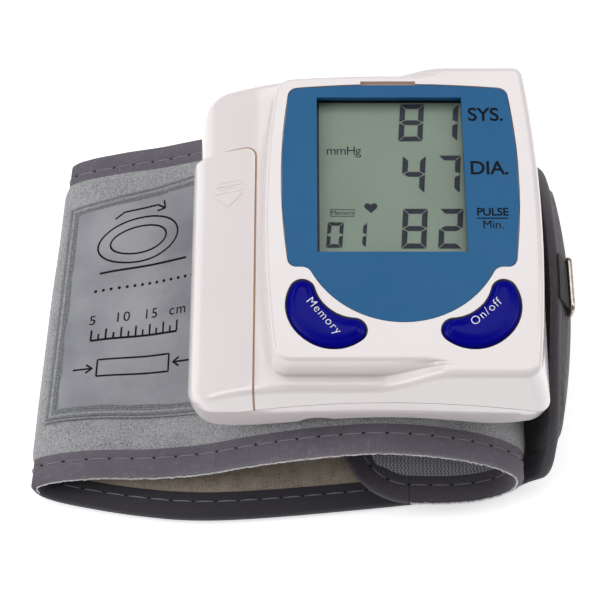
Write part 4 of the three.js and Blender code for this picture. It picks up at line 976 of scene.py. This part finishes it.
shell = moulded("shell_plastic", (248, 240, 240), (245, 236, 237), 0.2, Coat_Weight=0.6, Coat_Roughness=0.03)
gap_shade = moulded("gap_shade", (206, 168, 136), (196, 156, 124), 0.6)
key_blue = moulded("key_plastic", (1, 2, 142), (1, 1, 130), 0.24, Specular_IOR_Level=0.1)
bezel = moulded("bezel_plastic", (24, 100, 150), (21, 95, 146), 0.4, Specular_IOR_Level=0.25)
dark = moulded("dark_plastic", (34, 36, 40), (28, 30, 33), 0.5)
board = moulded("board_laminate", (30, 104, 58), (24, 92, 50), 0.4)
soft_rubber = moulded("rubber", (184, 182, 176), (174, 172, 166), 0.7)
cell_sleeve = moulded("cell_jacket", (52, 84, 122), (44, 74, 112), 0.3)
print_black = moulded("print_black", (8, 8, 11), (12, 12, 16), 0.7, Specular_IOR_Level=0.2)
print_white = moulded("print_white", (252, 252, 255), (246, 246, 252), 0.5)
glyph = moulded("display_segment", (46, 50, 62), (52, 56, 68), 0.5, Specular_IOR_Level=0.2)
steel = metal("steel", (190, 191, 193), (170, 170, 172), 0.3)
nickel = metal("nickel", (205, 198, 188), (178, 168, 156), 0.2)
display = display_paint()
lens = lens_paint()


# Case pieces

def cover_outline(room):
    """Plan that cuts the battery cover out of the case's front left corner"""
    right, rear, radius = cover_right + room, cover_rear + room, cover_radius + room
    left, front = case_left - 3 * case_wall, case_front - 3 * case_wall
    corner = arc((right - radius, rear - radius), radius, 0, math.pi / 2, corner_steps)
    return np.vstack([[(left, front), (right, front)], corner, [(left, rear)]])


def cut(piece, outline, low, high, operation="DIFFERENCE"):
    """Cut a prism out of the piece, or keep what is inside it"""
    combine(piece, prism("tool", outline, low, high, shell), operation)


def upper_half(name, left, inset, wall, top_wall, material):
    """Upper shell of the case, or a sheet inset from its surface, with a hollow under it"""
    piece = upper_shell(name, inset, left, head_top - inset, material)
    combine(piece, upper_shell("hollow", inset + wall, left, head_top - inset - top_wall, material))
    return piece


def build_front_case():
    piece = upper_half("front_shell", case_left + shoulder_step, 0, case_wall, head_top_wall, shell)
    cut(piece, cover_outline(cover_gap), low_level, high_level)
    cut(piece, panel_outline(panel_gap), panel_top - panel_thickness, high_level)
    cut(piece, rectangle(*slot_sides, *slot_ends), slot_floor, high_level)
    half_x, half_y = (side / 2 + lens_margin + gap for side in (window_width, window_length))
    x, y = window_centre
    cut(piece, rectangle(x - half_x, x + half_x, y - half_y, y + half_y), key_foot - case_wall, head_top)
    for angle in key_angles.values():
        cut(piece, key_outline(angle, gap), key_foot - case_wall, high_level)
    smooth_by_angle(piece, 32)
    return piece


def seat_height(place):
    return min(arch[1] + seat_rise, float(parting_at(place[0])) - screw_head_height - post_wall)


def build_rear_case():
    piece = lower_shell("rear_shell", 0, shell)
    combine(piece, lower_shell("hollow", case_wall, shell))
    for place in screw_places:
        cut(piece, disc(place, screw_head_radius + gap), 0, seat_height(place))
    circle = disc((arch[0] - notch_setback, left_lobe[1] + notch_rise), notch_radius)
    rows = [np.insert(circle, 1, y, axis=1) for y in (2 * case_front, case_front + notch_depth)]
    combine(piece, mesh_piece("notch", *rows_mesh(rows), shell, smooth=False))
    smooth_by_angle(piece, 32)
    return piece


def build_well(number, place):
    """Cup over a screw's head, open at its foot"""
    low = floor_at(place[0]) + case_wall / 2
    top = seat_height(place)
    profile = ((screw_head_radius + gap, low), (screw_head_radius + gap, top), (screw_radius + gap, top),
               (screw_radius + gap, top + post_wall), (post_radius, top + post_wall), (post_radius, low))
    rows = [with_height(disc(place, radius), z) for radius, z in profile]
    return mesh_piece(f"screw_well_{number}", *rows_mesh(rows, "joined"), shell, sharp=40)


def build_cover():
    piece = upper_half("cover_shell", case_left, 0, cover_wall, head_top_wall, shell)
    cut(piece, cover_outline(0), low_level, high_level, "INTERSECT")
    smooth_by_angle(piece, 32)
    return piece


def build_gap_floor():
    """Warm shade in the narrow gap round the battery cover"""
    piece = upper_half("cover_gap_floor", case_left + shoulder_step, gap_depth, 2 * gap, 2 * gap, gap_shade)
    cut(piece, cover_outline(cover_gap + gap), float(parting_at(case_left)), high_level, "INTERSECT")
    cut(piece, cover_outline(gap / 10), 0, high_level + gap)
    return piece


settle(build_front_case(), ROOT, "shell_plastic", "front_case")
settle(build_rear_case(), ROOT, "shell_plastic", "rear_case")
for number, place in enumerate(screw_places, 1):
    settle(build_well(number, place), ROOT, "shell_plastic")
settle(build_cover(), "battery_cover", "shell_plastic", "battery_cover")
settle(build_gap_floor(), ROOT, "shell_plastic")
# Tan plate on the slot's floor: painted shade, warm like the gap round the cover
slot_plan = rectangle(slot_sides[0] - gap, slot_sides[1] + gap, slot_ends[0], slot_ends[1] + gap)
slot_shade = prism("slot_floor", slot_plan, slot_floor - gap, slot_floor + gap / 10, gap_shade)
settle(slot_shade, ROOT, "shell_plastic")


# Keys

def key_piece(name, angle):
    """Key with a rounded edge and a slightly crowned top"""
    top = head_top + key_proud
    rows = [with_height(key_outline(angle, 0), z) for z in (key_foot, top - key_edge)]
    for back, drop in quarter():
        rows.append(with_height(key_outline(angle, -key_edge * back), top - key_edge * drop - key_crown))
    rim = rows[-1][:, :2]
    spine = key_spine(angle)[0]
    nearest = spine[np.argmin(np.linalg.norm(rim[:, None] - spine[None], axis=2), axis=1)]
    for share in np.linspace(0, 0.9, 7)[1:]:
        rows.append(with_height(rim + (nearest - rim) * share, top - key_crown * (1 - share) ** 2))
    return mesh_piece(name, *rows_mesh(rows), key_blue, sharp=60)


for kind, angle in key_angles.items():
    settle(key_piece(f"{kind}_cap", angle), f"{kind}_key", "key_plastic", f"{kind}_button")
    # Dark sheet in each key's gap: painted shade of the pocket under the key
    outline = key_outline(angle, gap * 1.2)
    shadow = prism(f"{kind}_gap", outline, key_foot - gap, head_top - key_gap_depth, dark)
    cut(shadow, key_outline(angle, gap / 10), 0, high_level)
    settle(shadow, ROOT, "shell_plastic")


# Words and figures

def letters(name, text, size, centre, z, material, turn=0, lift=word_lift, spread=1.0, weight=0.0):
    curve = bpy.data.curves.new(name, "FONT")
    curve.body = text
    curve.size = size * MM
    curve.align_x = "CENTER"
    curve.align_y = "CENTER"
    curve.space_character = spread
    curve.extrude = lift * MM / 2
    curve.offset = weight * MM
    source = link(name, curve)
    mesh = evaluated_mesh(source)
    bpy.data.objects.remove(source)
    goal = Vector(world([(*centre, z + lift)])[0])
    mesh.transform(Matrix.Translation(goal) @ Matrix.Rotation(math.radians(turn), 4, "Z"))
    mesh.materials.clear()
    mesh.materials.append(material)
    return link(name, mesh)


def plates(name, outlines, z, material):
    """Thin plates with these outlines, in one mesh"""
    points, faces = joined(plate(outline, z, z + glyph_lift) for outline in outlines)
    return mesh_piece(name, points, faces, material, smooth=False)


def digit(figure, left, right, bottom, top, width):
    """Outlines of a seven-segment figure with slanted sides"""
    mid, half, play = (bottom + top) / 2, width / 2, width * segment_play_share
    inner_left, inner_right = left + width + play, right - width - play
    sides = {"f": (left, 1, mid, top), "b": (right, -1, mid, top), "e": (left, 1, bottom, mid),
             "c": (right, -1, bottom, mid)}
    outlines = []
    for segment in segments[figure]:
        if segment == "g":
            outline = [(left + 3 * play, mid), (inner_left, mid + half), (inner_right, mid + half),
                       (right - 3 * play, mid), (inner_right, mid - half), (inner_left, mid - half)]
        elif segment in "ad":
            outer, inner = (top, top - width) if segment == "a" else (bottom, bottom + width)
            outline = [(left + play, outer), (right - play, outer), (inner_right, inner), (inner_left, inner)]
        else:
            x, way, low, high = sides[segment]
            low_cut, high_cut = (half, width) if segment in "fb" else (width, half)
            inner = x + way * width
            outline = [(x, low + play), (inner, low + play + low_cut), (inner, high - play - high_cut),
                       (x, high - play)]
        outlines.append([(x + (y - bottom) * figure_slant, y) for x, y in outline])
    return outlines


def heart(t):
    rise = (13 * math.cos(t) - 5 * math.cos(2 * t) - 2 * math.cos(3 * t) - math.cos(4 * t)) / 16
    return heart_centre[0] + heart_size * math.sin(t) ** 3, heart_centre[1] + heart_size * rise


def box_frame():
    """Four thin bars round the small word on the display"""
    (left, right), (front, rear) = box_sides, box_ends
    return [rectangle(left, right, front, front + box_line), rectangle(left, right, rear - box_line, rear),
            rectangle(left, left + box_line, front, rear), rectangle(right - box_line, right, front, rear)]


figures = [outline for row in figure_boxes for outline in digit(*row)]
figures.append([heart(t) for t in np.linspace(2 * math.pi, 0, oval_steps)[:-1]])
figures += box_frame()
window_left, window_front = window_centre[0] - window_width / 2, window_centre[1] - window_length / 2
# Dark strip along the window's left edge: painted shadow of the panel's thickness
window_shadow_strip = rectangle(window_left - gap, window_left + shadow_strip_width, window_front - gap,
                 window_front + window_length + gap)
settle(plates("display_window_shadow", [window_shadow_strip], glass_top, dark), ROOT, "display_glass")
settle(plates("display_figures", figures, glass_top + glyph_lift / 2, glyph), ROOT, "display_glass")
for name, text, size, centre in display_words:
    settle(letters(name, text, size, centre, glass_top, glyph, spread=0.9), ROOT, "display_glass")
for number, (text, size, centre, weight) in enumerate(panel_words, 1):
    name = f"panel_word_{number}"
    word = letters(name, text, size, centre, panel_top, print_black, spread=0.98, weight=weight)
    settle(word, ROOT, "bezel_plastic")
settle(plates("panel_rule", [rectangle(*panel_rule)], panel_top, print_black), ROOT, "bezel_plastic")
for kind, text, centre, turn in key_words:
    top = head_top + key_proud - key_word_sink
    word = letters(f"{kind}_word", text, key_word_size, centre, top, print_white,
                   turn, raised_lift, 1.15, key_word_weight)
    settle(word, f"{kind}_key", "key_plastic")


# Arrow on the battery cover

def on_cover(outline):
    """Raised plate on the cover's roof, its outline cut into short steps"""
    ahead = np.roll(outline, -1, axis=0)
    dense = np.vstack([np.linspace(a, b, 12, endpoint=False) for a, b in zip(outline, ahead)])
    roof = roof_at(dense[:, 0], 0, case_left)
    return rows_mesh([with_height(dense, roof + lift) for lift in (-arrow_sink, arrow_rise)])


def build_arrow():
    left, right = arrow_sides
    outlines = [rectangle(left, right, front, front + arrow_bar) for front in arrow_bar_fronts]
    outlines.append([(left, arrow_head[0]), ((left + right) / 2, arrow_head[1]), (right, arrow_head[0])])
    points, faces = joined(on_cover(np.array(outline, float)) for outline in outlines)
    return mesh_piece("cover_arrow", points, faces, shell, smooth=False)


settle(build_arrow(), "battery_cover", "shell_plastic")


# Cuff strip

def strip_run():
    """The run of the strip as a finely sampled curve through its places"""
    x, z, forward = np.array(cuff_run_shares).T
    knots = np.column_stack([x * cuff_reach, -forward * cuff_forward, z * cuff_rise])
    ends = np.vstack([2 * knots[0] - knots[1], knots, 2 * knots[-1] - knots[-2]])
    pieces = []
    for i in range(len(knots) - 1):
        p0, p1, p2, p3 = ends[i:i + 4]
        dt0, dt1, dt2 = (math.sqrt(np.linalg.norm(b - a)) for a, b in ((p0, p1), (p1, p2), (p2, p3)))
        m1 = ((p1 - p0) / dt0 - (p2 - p0) / (dt0 + dt1) + (p2 - p1) / dt1) * dt1
        m2 = ((p2 - p1) / dt1 - (p3 - p1) / (dt1 + dt2) + (p3 - p2) / dt2) * dt1
        t = np.linspace(0, 1, run_steps, endpoint=i == len(knots) - 2)[:, None]
        square, cube = 3 * (p2 - p1) - 2 * m1 - m2, 2 * (p1 - p2) + m1 + m2
        pieces.append(p1 + m1 * t + square * t ** 2 + cube * t ** 3)
    return np.vstack(pieces)


run_points = strip_run()
run_distance = running(run_points)
run_length = run_distance[-1]
tail_from = tail_from_share * run_length
tail_pivot = (tail_pivot_share * cuff_reach, velour_thickness)
tips = ((flap_radius, flap_radius), (tail_radius_along, tail_radius_across))
edge_room = binding_thickness + gap
seam = seam_share * run_length
bladder_span = [share * run_length for share in bladder_shares]
binding_high = pinched_velour + binding_thickness
binding_low = -gap / 4 - pinched_lining - binding_thickness


def strip_point(along, v):
    """Place on the run, with the tail's bow and the left fold's cone; v is the share of the width"""
    place = np.stack([np.interp(along, run_distance, run_points[:, k]) for k in range(3)], axis=-1)
    place[..., 2] = np.maximum(place[..., 2], velour_thickness)
    tail = (along > tail_from) & (place[..., 0] > tail_pivot[0])
    keep = np.where(tail, 1 - tail_bow_share * (2 * (v - tail_bow_centre_share)) ** 2, 1)
    for axis, pivot in zip((0, 2), tail_pivot):
        place[..., axis] = pivot + (place[..., axis] - pivot) * keep
    cone_x = cone_start_share * cuff_reach
    coned = np.clip((cone_x - place[..., 0]) / (cone_x + cuff_reach), 0, 1)
    place[..., 0] -= cuff_cone * (0.5 - v) * coned
    return place


def rear_skew(x):
    """How far the strip's rear edge stands back from a straight one"""
    rises = [(last - first) * ease(x, low, high) for low, high, first, last in rear_skews]
    return rear_skews[0][2] + sum(rises)


def on_strip(along, across, off):
    """Point of the folded strip, never under the table; off is the height over the velour's back"""
    along, across, off = np.broadcast_arrays(*(np.asarray(value, float) for value in (along, across, off)))
    v = across / cuff_width
    reach = velour_thickness / 2
    here, ahead, behind = (strip_point(np.clip(along + step, 0, run_length), v)
                           for step in (0, reach, -reach))
    heading = unit((ahead - behind)[..., [0, 2]])
    tapered = tail_taper_share * ease(along, tail_from, run_length)
    y = cuff_front + here[..., 1] + across * (1 - tapered) + v * rear_skew(here[..., 0])
    z = np.maximum(here[..., 2] - heading[..., 0] * off, table_level)
    return np.stack([here[..., 0] + heading[..., 1] * off, y, z], axis=-1)


def drawn_in(along, room):
    """How far in a line stands that keeps some room from the strip's side edge and its round ends"""
    drawn = np.full_like(along, room)
    for (radius_along, radius_across), distance in zip(tips, (along, run_length - along)):
        short = np.clip(1 - (distance - room) / (radius_along - room), 0, 1)
        drawn = drawn + (radius_across - room) * (1 - np.sqrt(1 - short ** 2))
    return drawn


def ripple(along, across, size):
    """Slow waves that make cloth look handled"""
    a, b, c, d, e, f = ripple_lengths
    waves = np.sin(along / a + across / b) + np.sin(along / c - across / d + 1.7)
    return size * (waves + 0.6 * np.sin(across / f + along / e))


def stations(start, end):
    """Places along the strip, closer together where its ends are round"""
    fine = (1 - np.cos(np.linspace(0, math.pi, 16)[:8])) / 2
    places = [np.linspace(start, end, max(int((end - start) / station_step), 2))]
    if start < flap_radius:
        places.append(start + flap_radius * fine)
    if end > run_length - tail_radius_along:
        places.append(end - tail_radius_along * fine)
    along = np.unique(np.clip(np.concatenate(places), start, end))
    along = along[np.r_[True, np.diff(along) > station_room]]
    along[-1] = end
    return along


def slab(name, start, end, low, high, material, edges_at=None, flat_width=None):
    """A layer of the strip from start to end, between the offsets low and high"""
    along = stations(start, end)
    columns = int(cuff_width / column_step)
    even = np.linspace(0, 1, columns)
    shares = (1 - np.cos(math.pi * even)) / 2 * crowding_share + even * (1 - crowding_share)
    side = drawn_in(along, edge_room)
    first, last = edges_at(along) if edges_at else (side, cuff_width - side)
    across = first[:, None] + (last - first)[:, None] * shares
    along = np.broadcast_to(along[:, None], across.shape)
    upper, lower = (on_strip(along, across, offset(along, across)) for offset in (high, low))
    points, faces = rows_mesh(np.concatenate([upper, lower[:, ::-1]], axis=1), "open")
    for near in (0, len(points) - 2 * columns):
        far = near + 2 * columns - 1
        faces += [(near + j, near + j + 1, far - j - 1, far - j) for j in range(columns - 1)]
    flat = np.stack([along, across], axis=-1)
    if flat_width:
        flat = np.stack([along - start, np.broadcast_to(shares * flat_width, across.shape)], axis=-1)
    uv = np.concatenate([flat, flat[:, ::-1]], axis=1).reshape(-1, 2)
    return mesh_piece(name, points, faces, material, uv=uv, sharp=60)


def inside_binding(along, across, edge):
    """0 under the binding, rising to 1 across an edge of the cloth beside it"""
    side = np.minimum(across, cuff_width - across) - drawn_in(along, 0.0)
    distance = np.minimum(np.minimum(side, along), run_length - along)
    return ease(distance, binding_width - gap, binding_width + edge)


def velour_low(along, across):
    return 0 * along


def velour_top(along, across):
    full = velour_thickness - pinched_velour + ripple(along, across, velour_wave)
    return pinched_velour + full * inside_binding(along, across, velour_edge)


def lining_top(along, across):
    """Back of the linings, which swell over the bladder"""
    slope = bladder_thickness * 3
    run = ease(np.minimum(along - bladder_span[0], bladder_span[1] - along), -slope, slope / 2)
    room = binding_width + gap
    side = ease(np.minimum(across, cuff_width - across), room, room + 3 * slope)
    return -gap / 4 - run * side * (bladder_thickness + gap)


def lining_low(along, across):
    full = lining_thickness - pinched_lining + ripple(along, across, lining_wave)
    return lining_top(along, across) - pinched_lining - full * inside_binding(along, across, lining_edge)


# Binding, stitches and loose fibres

def strip_outline(step):
    """The strip's edge in its own plane, along and across, and the direction inwards"""
    turn = np.linspace(0, math.pi / 2, 40)
    sine, cosine = 1 - np.sin(turn), 1 - np.cos(turn)
    (flap_along, flap_across), (tail_along, tail_across) = tips
    straight = run_length - flap_along - tail_along
    side = flap_along + np.linspace(0, straight, int(straight / step))
    ends = [np.linspace(radius, cuff_width - radius, int((cuff_width - 2 * radius) / step) + 2)
            for radius in (flap_across, tail_across)]
    stretches = (
        (side, 0),
        (run_length - tail_along * sine, tail_across * cosine),
        (run_length, ends[1]),
        (run_length - tail_along * cosine, cuff_width - tail_across * sine),
        (side[::-1], cuff_width),
        (flap_along * sine, cuff_width - flap_across * cosine),
        (0, ends[0][::-1]),
        (flap_along * cosine, flap_across * sine),
    )
    points = np.vstack([np.column_stack(np.broadcast_arrays(*stretch))[:-1] for stretch in stretches])
    return points, inward(points)


def binding_section():
    """Closed section of the folded tape: distance inwards and offset"""
    high, low = binding_high, binding_low
    middle, half = (high + low) / 2, (high - low) / 2
    nose = half * 0.95
    turn = np.linspace(math.pi / 2, -math.pi / 2, 13)
    outer = [(nose - nose * math.cos(t), middle + half * math.sin(t)) for t in turn]
    inner_nose, inner_half = nose - binding_thickness, half - binding_thickness
    back = [(nose - inner_nose * math.cos(t), middle + inner_half * math.sin(t)) for t in turn[::-1]]
    legs = [binding_width, binding_width * 0.85, *(stitch_inset + step for step in groove_steps),
            binding_width * 0.4]

    def leg_line(height, way=1):
        return [(leg, height) for leg in legs[::way]]

    return (leg_line(high) + outer + leg_line(low, -1) + leg_line(low + binding_thickness) + back
            + leg_line(high - binding_thickness, -1))


def build_binding():
    """Tape folded round the whole edge, puckered and grooved along its stitches"""
    outline, normal = strip_outline(binding_step)
    section = np.array(binding_section())
    inset, height = section.T
    along, across = (outline[:, k, None] + normal[:, k, None] * inset for k in (0, 1))
    distance = running(outline)
    pucker = pucker_height * np.sin(distance * 2 * math.pi / stitch_pitch)[:, None]
    face = np.sign(height - (binding_high + binding_low) / 2)
    spread = inset - stitch_inset
    groove = stitch_groove * np.exp(-(spread / groove_width) ** 2)
    off = height + face * (pucker * np.exp(-(spread / pucker_width) ** 2) - groove)
    uv = np.stack(np.broadcast_arrays(distance[:, None], running(section)[None]), axis=-1).reshape(-1, 2)
    points, faces = rows_mesh(on_strip(along, across, off), "joined")
    return mesh_piece("cuff_binding", points, faces, twill_material, uv=uv, sharp=60)


def build_stitches():
    """Threads in the groove on both faces, with needle holes between them"""
    outline, normal = strip_outline(stitch_line_step)
    line = outline + normal * stitch_inset
    line = np.vstack([line, line[:1]])
    distance = running(line)
    total = distance[-1]
    count = int(total / stitch_pitch)

    def line_at(place):
        return [np.interp(place, distance, line[:, k]) for k in (0, 1)]

    bow = np.sin(np.linspace(0, math.pi, thread_steps))
    thin = stitch_radius * (0.55 + 0.45 * bow)[:, None]
    turns = [2 * math.pi * j / thread_steps for j in range(thread_steps)]
    hole_turn = np.arange(8) * math.pi / 4
    threads, holes = [], []
    for face_off, sign in ((binding_high - stitch_groove, 1), (binding_low + stitch_groove, -1)):
        for start in (number * total / count for number in range(count)):
            along, across = line_at(start + np.linspace(0, stitch_length, thread_steps))
            off = face_off + sign * bow * stitch_groove
            centre = on_strip(along, across, off)
            if centre[0, 0] > tail_plain_x:
                continue
            above = unit(on_strip(along, across, off + sign) - centre)
            side = np.cross(unit(np.gradient(centre, axis=0)), above)
            rings = [centre + thin * (side * math.cos(turn) + above * math.sin(turn)) for turn in turns]
            threads.append(rows_mesh(np.stack(rings, axis=1)))
            along, across = line_at((start - (stitch_pitch - stitch_length) / 2) % total)
            along = along + hole_radii[0] * np.cos(hole_turn)
            across = across + hole_radii[1] * np.sin(hole_turn)
            ends = [on_strip(along, across, face_off + depth) for depth in (hole_depth, -hole_depth)]
            holes.append(rows_mesh(ends))
    return (mesh_piece("cuff_thread", *joined(threads), thread_material),
            mesh_piece("cuff_needle_holes", *joined(holes), needle_material, smooth=False))


def build_fray():
    """Loose light fibres along the front edge where the binding turns under"""
    along = np.arange(fray_shares[0] * run_length, fray_shares[1] * run_length, fray_step)
    loose = np.random.default_rng(3).normal(0, fray_out, (2, len(along)))
    centre = on_strip(along, loose[0] - fray_out, (binding_low * 3 + binding_high) / 4 + loose[1])
    side = np.array([0, -1, 0])
    up = unit(np.cross(np.gradient(centre, axis=0), side))
    turns = np.arange(6) * math.pi / 3
    rings = [centre + fray_radius * (side * math.cos(turn) + up * math.sin(turn)) for turn in turns]
    return mesh_piece("cuff_fray", *rows_mesh(np.stack(rings, axis=1)), fray_material)


velour_material = velour_paint()
fleece_material = fleece_paint()
knit_material = knit_paint()
twill_material = twill_paint("twill", (150, 142, 155), (78, 72, 83), (176, 170, 179))
patch_material = patch_paint()
tape_material = cloth("tape_black", (40, 37, 37), (28, 26, 26), fibre_sizes["tape"])
thread_material = cloth("thread", (176, 172, 180), (140, 136, 146), fibre_sizes["thread"])
fray_material = cloth("fray", (240, 238, 240), (196, 193, 198), fibre_sizes["fray"])
needle_material = cloth("needle_hole", (30, 28, 34), (38, 35, 42), fibre_sizes["thread"])

cuff = slab("cuff_velour", edge_room, run_length - edge_room, velour_low, velour_top, velour_material)
settle(cuff, ROOT, "velour", "cuff_outer")
knit_face = slab("cuff_knit", edge_room, seam, lining_low, lining_top, knit_material)
settle(knit_face, ROOT, "knit", "knit_lining")
fleece_face = slab("cuff_fleece", seam + gap, run_length - edge_room, lining_low, lining_top, fleece_material)
settle(fleece_face, ROOT, "fleece", "fleece_lining")
binding = settle(build_binding(), ROOT, "twill", "edge_binding")
threads, needle_holes = (settle(piece, ROOT, "twill") for piece in build_stitches())
settle(build_fray(), ROOT, "twill")


# Label patch with plain line work

label_start, label_end = (share * run_length for share in label_shares)


def patch_edges(along):
    """Front and rear edge of the patch, which widens towards the case"""
    share = (label_end - along) / (label_end - label_start)
    return [left + (right - left) * share for left, right in (label_front, label_rear)]


def patch_low(along, across):
    return velour_thickness + gap * 1.5 + 0 * along


def patch_high(along, across):
    front, rear = patch_edges(along)
    near = np.minimum(label_end - along, np.minimum(across - front, rear - across))
    swell = label_swell * ease(near, 0, label_edge)
    return patch_low(along, across) + label_thickness + swell + ripple(along, across, label_wave)


def on_patch(x, y, lift):
    """Point over the patch, x to the right and y to the rear from its left front corner"""
    along = label_end - np.asarray(x, float)
    front, rear = patch_edges(along)
    across = front + np.asarray(y, float) * (rear - front) / label_width
    return on_strip(along, across, patch_high(along, across) + lift)


def printed_line(path, width=line_width):
    """Thin raised line along a path on the patch"""
    dense = [np.array(path[:1], float)]
    for a, b in zip(path[:-1], path[1:]):
        steps = max(int(math.dist(a, b) / line_step), 1)
        dense.append(np.linspace(a, b, steps + 1)[1:])
    dense = np.vstack(dense)
    side = left_of(dense) * width / 2
    edges = [(dense + way * side).T for way in (1, -1)]
    corners = [on_patch(*edges[i], way * print_lift) for i, way in ((0, 1), (0, -1), (1, -1), (1, 1))]
    return rows_mesh(np.stack(corners, axis=1))


def left_of(path):
    way = np.gradient(path, axis=0)
    way /= np.maximum(np.linalg.norm(way, axis=1), 1e-9)[:, None]
    return np.column_stack([-way[:, 1], way[:, 0]])


def printed_dot(x, y):
    circle = arc((x, y), dot_radius, 0, 2 * math.pi, 13)[:-1].T
    return rows_mesh([on_patch(*circle, lift) for lift in (print_lift, -print_lift)])


def scale_x(tick):
    return scale_left + (scale_right - scale_left) * tick / scale_ticks


def build_print():
    """Ring with an arrow, a rule, a dotted line, a length scale, and a strip between two arrows"""
    turn = np.linspace(0, 2 * math.pi, oval_steps)
    paths = [np.column_stack([x + rx * np.cos(turn), y + ry * np.sin(turn)]) for x, y, rx, ry in ovals]
    paths += arrow_paths
    for tick in range(scale_ticks + 1):
        top = scale_y + (short_tick if tick % 2 else long_tick)
        paths.append([(scale_x(tick), scale_y), (scale_x(tick), top)])
    bodies = [printed_line(path) for path in paths]
    scale_path = [(scale_left, scale_y), (scale_right, scale_y)]
    bodies += [printed_line(path, bold_width) for path in (rule_path, scale_path)]
    bodies += [printed_dot(dot_start[0] + dot_pitch * i, dot_start[1]) for i in range(dot_count)]
    return mesh_piece("patch_lines", *joined(bodies), print_black, smooth=False)


def patch_word(name, text, x, y):
    """Word bent onto the patch"""
    piece = letters(name, text, scale_word_size, (0, 0), 0, print_black, lift=patch_word_lift, spread=1.15)
    local = np.empty(len(piece.data.vertices) * 3)
    piece.data.vertices.foreach_get("co", local)
    local = (local.reshape(-1, 3) - shift) / MM
    placed = on_patch(local[:, 0] + x, local[:, 1] + y, local[:, 2] - patch_word_sink)
    piece.data.vertices.foreach_set("co", world(placed).ravel())
    return piece


patch = slab("label_film", label_start, label_end, patch_low, patch_high, patch_material,
             patch_edges, label_width)
settle(patch, ROOT, "patch_film", "label_patch")
settle(build_print(), ROOT, "patch_film")
for text, tick in scale_words:
    word = patch_word(f"patch_number_{text}", text, scale_x(tick), scale_y + scale_word_rise)
    settle(word, ROOT, "patch_film")


# Ring and tape

tape_end = run_length - tape_start - tape_length


def tape_edges(along):
    return [tape_middle + side * tape_width / 2 + 0 * along for side in (-1, 1)]


def tape_low(along, across):
    return np.maximum(velour_top(along, across), binding_high) + gap / 4


def tape_high(along, across):
    rise = ease(run_length - along, 0, tape_length / 2)
    return tape_low(along, across) + tape_thickness * (1 + rise) / 2


def build_ring():
    """Wire bent to a flat rectangle, with its bar in the tape's loop"""
    half = ring_length / 2 - ring_wire
    outline = rounded_rectangle(-half, half, -ring_drop, 0, [ring_corner] * 4)
    normal = -inward(outline)
    loop_height = velour_thickness + tape_thickness + (ring_wire + gap) / 2
    centre = on_strip(tape_end, tape_middle, loop_height)
    rows = []
    for angle in np.linspace(0, 2 * math.pi, 15)[:-1]:
        place = outline + normal * ring_wire * math.cos(angle)
        rows.append(np.insert(place, 0, ring_wire * math.sin(angle), axis=1) + centre)
    return mesh_piece("ring_wire", *rows_mesh(rows, "joined"), nickel)


tape_from = tape_end - ring_drop - 2 * ring_wire
tape = slab("ring_band", tape_from, run_length - tape_start, tape_low, tape_high, tape_material, tape_edges)
settle(tape, ROOT, "tape_black", "ring_tape")
settle(build_ring(), "ring", "nickel", "closing_ring")

# Materials of the model's own nodes
node_materials = (
    (bezel, "display_panel"), (lens, "display_window"), (display, "lcd_glass"), (board, "main_board"),
    (shell, "cuff_plate"), (cell_sleeve, "cell_outer cell_inner"),
    (dark, "lcd_frame memory_switch power_switch main_chip pressure_sensor buzzer"),
    (dark, "pump_head air_manifold air_nipple"),
    (soft_rubber, "zebra_strip_left zebra_strip_right memory_plunger power_plunger"),
    (soft_rubber, "pump_tube valve_tube bladder"),
    (steel, "contact_bridge contact_positive contact_negative spring_outer spring_inner"),
    (steel, "pump_motor release_valve case_screw_1 case_screw_2 case_screw_3 case_screw_4"),
)
for material, nodes in node_materials:
    for node in nodes.split():
        for slot in frame["nodes"][node].material_slots:
            slot.material = material


# Floor, light and camera

def build_floor():
    white = (1, 1, 1, 1)
    paint = Paint("floor", (250, 250, 250), 0.8, Emission_Color=white, Emission_Strength=floor_glow)
    paint.coat(paint.drift(floor_drift, 2, 0.2), (251, 251, 251), (249, 249, 250))
    corners = rectangle(-floor_reach, floor_reach, -floor_reach, floor_reach)
    points = [(x, y, table_level - floor_drop) for x, y in corners]
    mesh_piece("floor", points, [(0, 1, 2, 3)], paint.material, smooth=False)


def area_light(name, position, sides, power):
    light = bpy.data.lights.new(name, "AREA")
    light.shape = "RECTANGLE"
    light.size, light.size_y = (side * MM for side in sides)
    light.energy = power
    lamp = link(name, light)
    lamp.location = world([position])[0]
    way = Vector(world([light_target])[0]) - lamp.location
    lamp.rotation_euler = way.to_track_quat("-Z", "Y").to_euler()


def build_surroundings():
    studio = bpy.data.worlds.new("studio")
    studio.use_nodes = True
    background = studio.node_tree.nodes["Background"]
    background.inputs["Color"].default_value = (1, 1, 1, 1)
    background.inputs["Strength"].default_value = sky_strength
    bpy.context.scene.world = studio
    bpy.context.scene.view_settings.view_transform = "Standard"


def build_camera():
    data = bpy.data.cameras.new("camera")
    data.sensor_width = sensor_width
    data.lens = focal_length
    data.clip_end = clip_metres
    camera = link("camera", data)
    offset = np.array([0, -math.cos(camera_elevation), math.sin(camera_elevation)]) * camera_distance
    camera.location = world([np.array(view_target) + offset])[0]
    camera.rotation_euler = (math.pi / 2 - camera_elevation, 0, 0)
    bpy.context.scene.camera = camera


build_floor()
for name, settings in lights.items():
    area_light(name, *settings)
build_surroundings()
build_camera()
